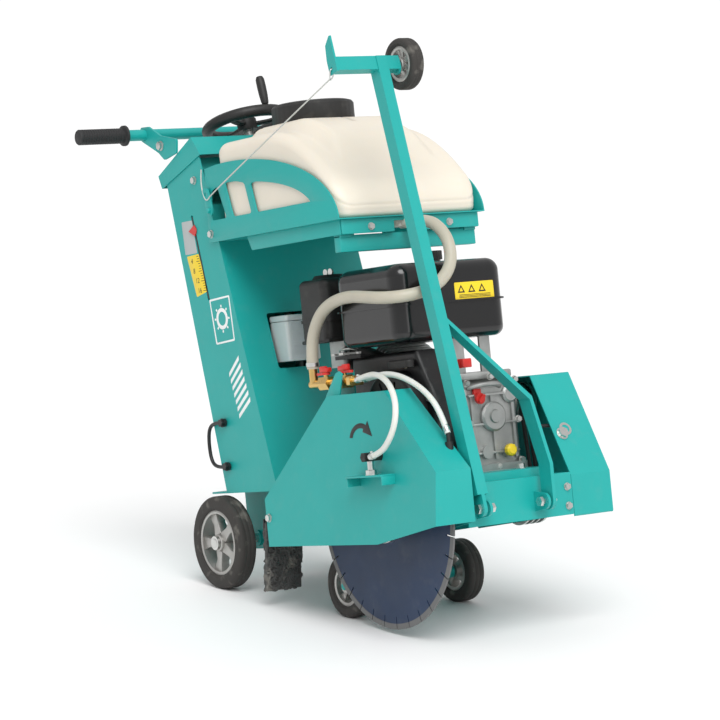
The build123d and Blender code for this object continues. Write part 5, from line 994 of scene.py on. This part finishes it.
CAMERA_AZIMUTH, CAMERA_ELEVATION, CAMERA_ROLL = 55.4246, 6.7544, -0.5483
CAMERA_DISTANCE, CAMERA_LENS = 6.1824, 147.83
CAMERA_TARGET = (0.2766, 0.5092)
CAMERA_ANCHOR = Vector((0.3, 0, 0))
SENSOR_WIDTH = 36
CLIP_END = 60

FLOOR_REACH = 40
SKY_LIGHT, SKY_SEEN = 0.68, 1.05
SUN_POWER, SUN_SPREAD, SUN_WAY = 2.1, 38, (-0.6, 0.27, -0.8)
FRONT_POWER = 14


def make_camera():
    """The camera, aimed at a point given across the picture and above the floor."""
    azimuth, elevation = math.radians(CAMERA_AZIMUTH), math.radians(CAMERA_ELEVATION)
    back = Vector((math.sin(azimuth) * math.cos(elevation), -math.cos(azimuth) * math.cos(elevation),
                   math.sin(elevation)))
    right = Vector((math.cos(azimuth), math.sin(azimuth), 0))
    up = back.cross(right)
    roll = math.radians(CAMERA_ROLL)
    right_turned = right * math.cos(roll) + up * math.sin(roll)
    up_turned = up * math.cos(roll) - right * math.sin(roll)
    across = right * (CAMERA_TARGET[0] - CAMERA_ANCHOR.x)
    target = CAMERA_ANCHOR + across + Vector((0, 0, CAMERA_TARGET[1]))
    camera = place("camera", bpy.data.cameras.new("camera"))
    camera.data.lens = CAMERA_LENS
    camera.data.sensor_width = SENSOR_WIDTH
    turn = Matrix((right_turned, up_turned, back)).transposed().to_4x4()
    camera.matrix_world = Matrix.Translation(target + back * CAMERA_DISTANCE + Vector((AXLE.x, 0, 0))) @ turn
    camera.data.clip_end = CLIP_END
    bpy.context.scene.camera = camera


def area_light(name, stand, aim, size, power):
    """A white area light that stands at one point and faces another."""
    light = bpy.data.lights.new(name, "AREA")
    light.shape = "RECTANGLE"
    light.size, light.size_y = size
    light.energy = power
    lamp = place(name, light)
    lamp.location = stand
    lamp.rotation_mode = "QUATERNION"
    lamp.rotation_quaternion = (Vector(aim) - Vector(stand)).to_track_quat("-Z", "Y")


def make_studio():
    """A pale floor, a soft sun and a front light under a sky that looks brighter than it lights."""
    floor_mesh = bmesh.new()
    bmesh.ops.create_grid(floor_mesh, x_segments=8, y_segments=8, size=FLOOR_REACH)
    data = bpy.data.meshes.new("studio_floor")
    floor_mesh.to_mesh(data)
    floor_mesh.free()
    data.materials.append(FLOOR)
    floor = place("studio_floor", data)
    world = bpy.data.worlds.new("studio")
    world.use_nodes = True
    tree = world.node_tree
    sky = tree.nodes["Background"]
    sky.inputs["Color"].default_value = (1, 1, 1, 1)
    path = tree.nodes.new("ShaderNodeLightPath")
    strength = tree.nodes.new("ShaderNodeMapRange")
    strength.inputs["To Min"].default_value = SKY_LIGHT
    strength.inputs["To Max"].default_value = SKY_SEEN
    tree.links.new(path.outputs["Is Camera Ray"], strength.inputs["Value"])
    tree.links.new(strength.outputs["Result"], sky.inputs["Strength"])
    bpy.context.scene.world = world
    bpy.context.scene.view_settings.view_transform = "Standard"
    sun = bpy.data.lights.new("soft_sun", "SUN")
    sun.energy = SUN_POWER
    sun.angle = math.radians(SUN_SPREAD)
    lamp = place("soft_sun", sun)
    lamp.rotation_mode = "QUATERNION"
    lamp.rotation_quaternion = Vector(SUN_WAY).to_track_quat("-Z", "Y")
    area_light("front", (3.6, -0.2, 1.9), (0, 0, 0.5), (1.6, 2.0), FRONT_POWER)


def main():
    make_camera()
    make_cords()
    dress_nodes()
    make_wheels()
    make_tank()
    make_cradle()
    make_flap()
    make_handwheel()
    make_grips()
    make_strap_loop()
    make_tool_box()
    make_decals()
    make_valve_detail()
    make_guard_detail()
    make_engine_detail()
    make_studio()


main()
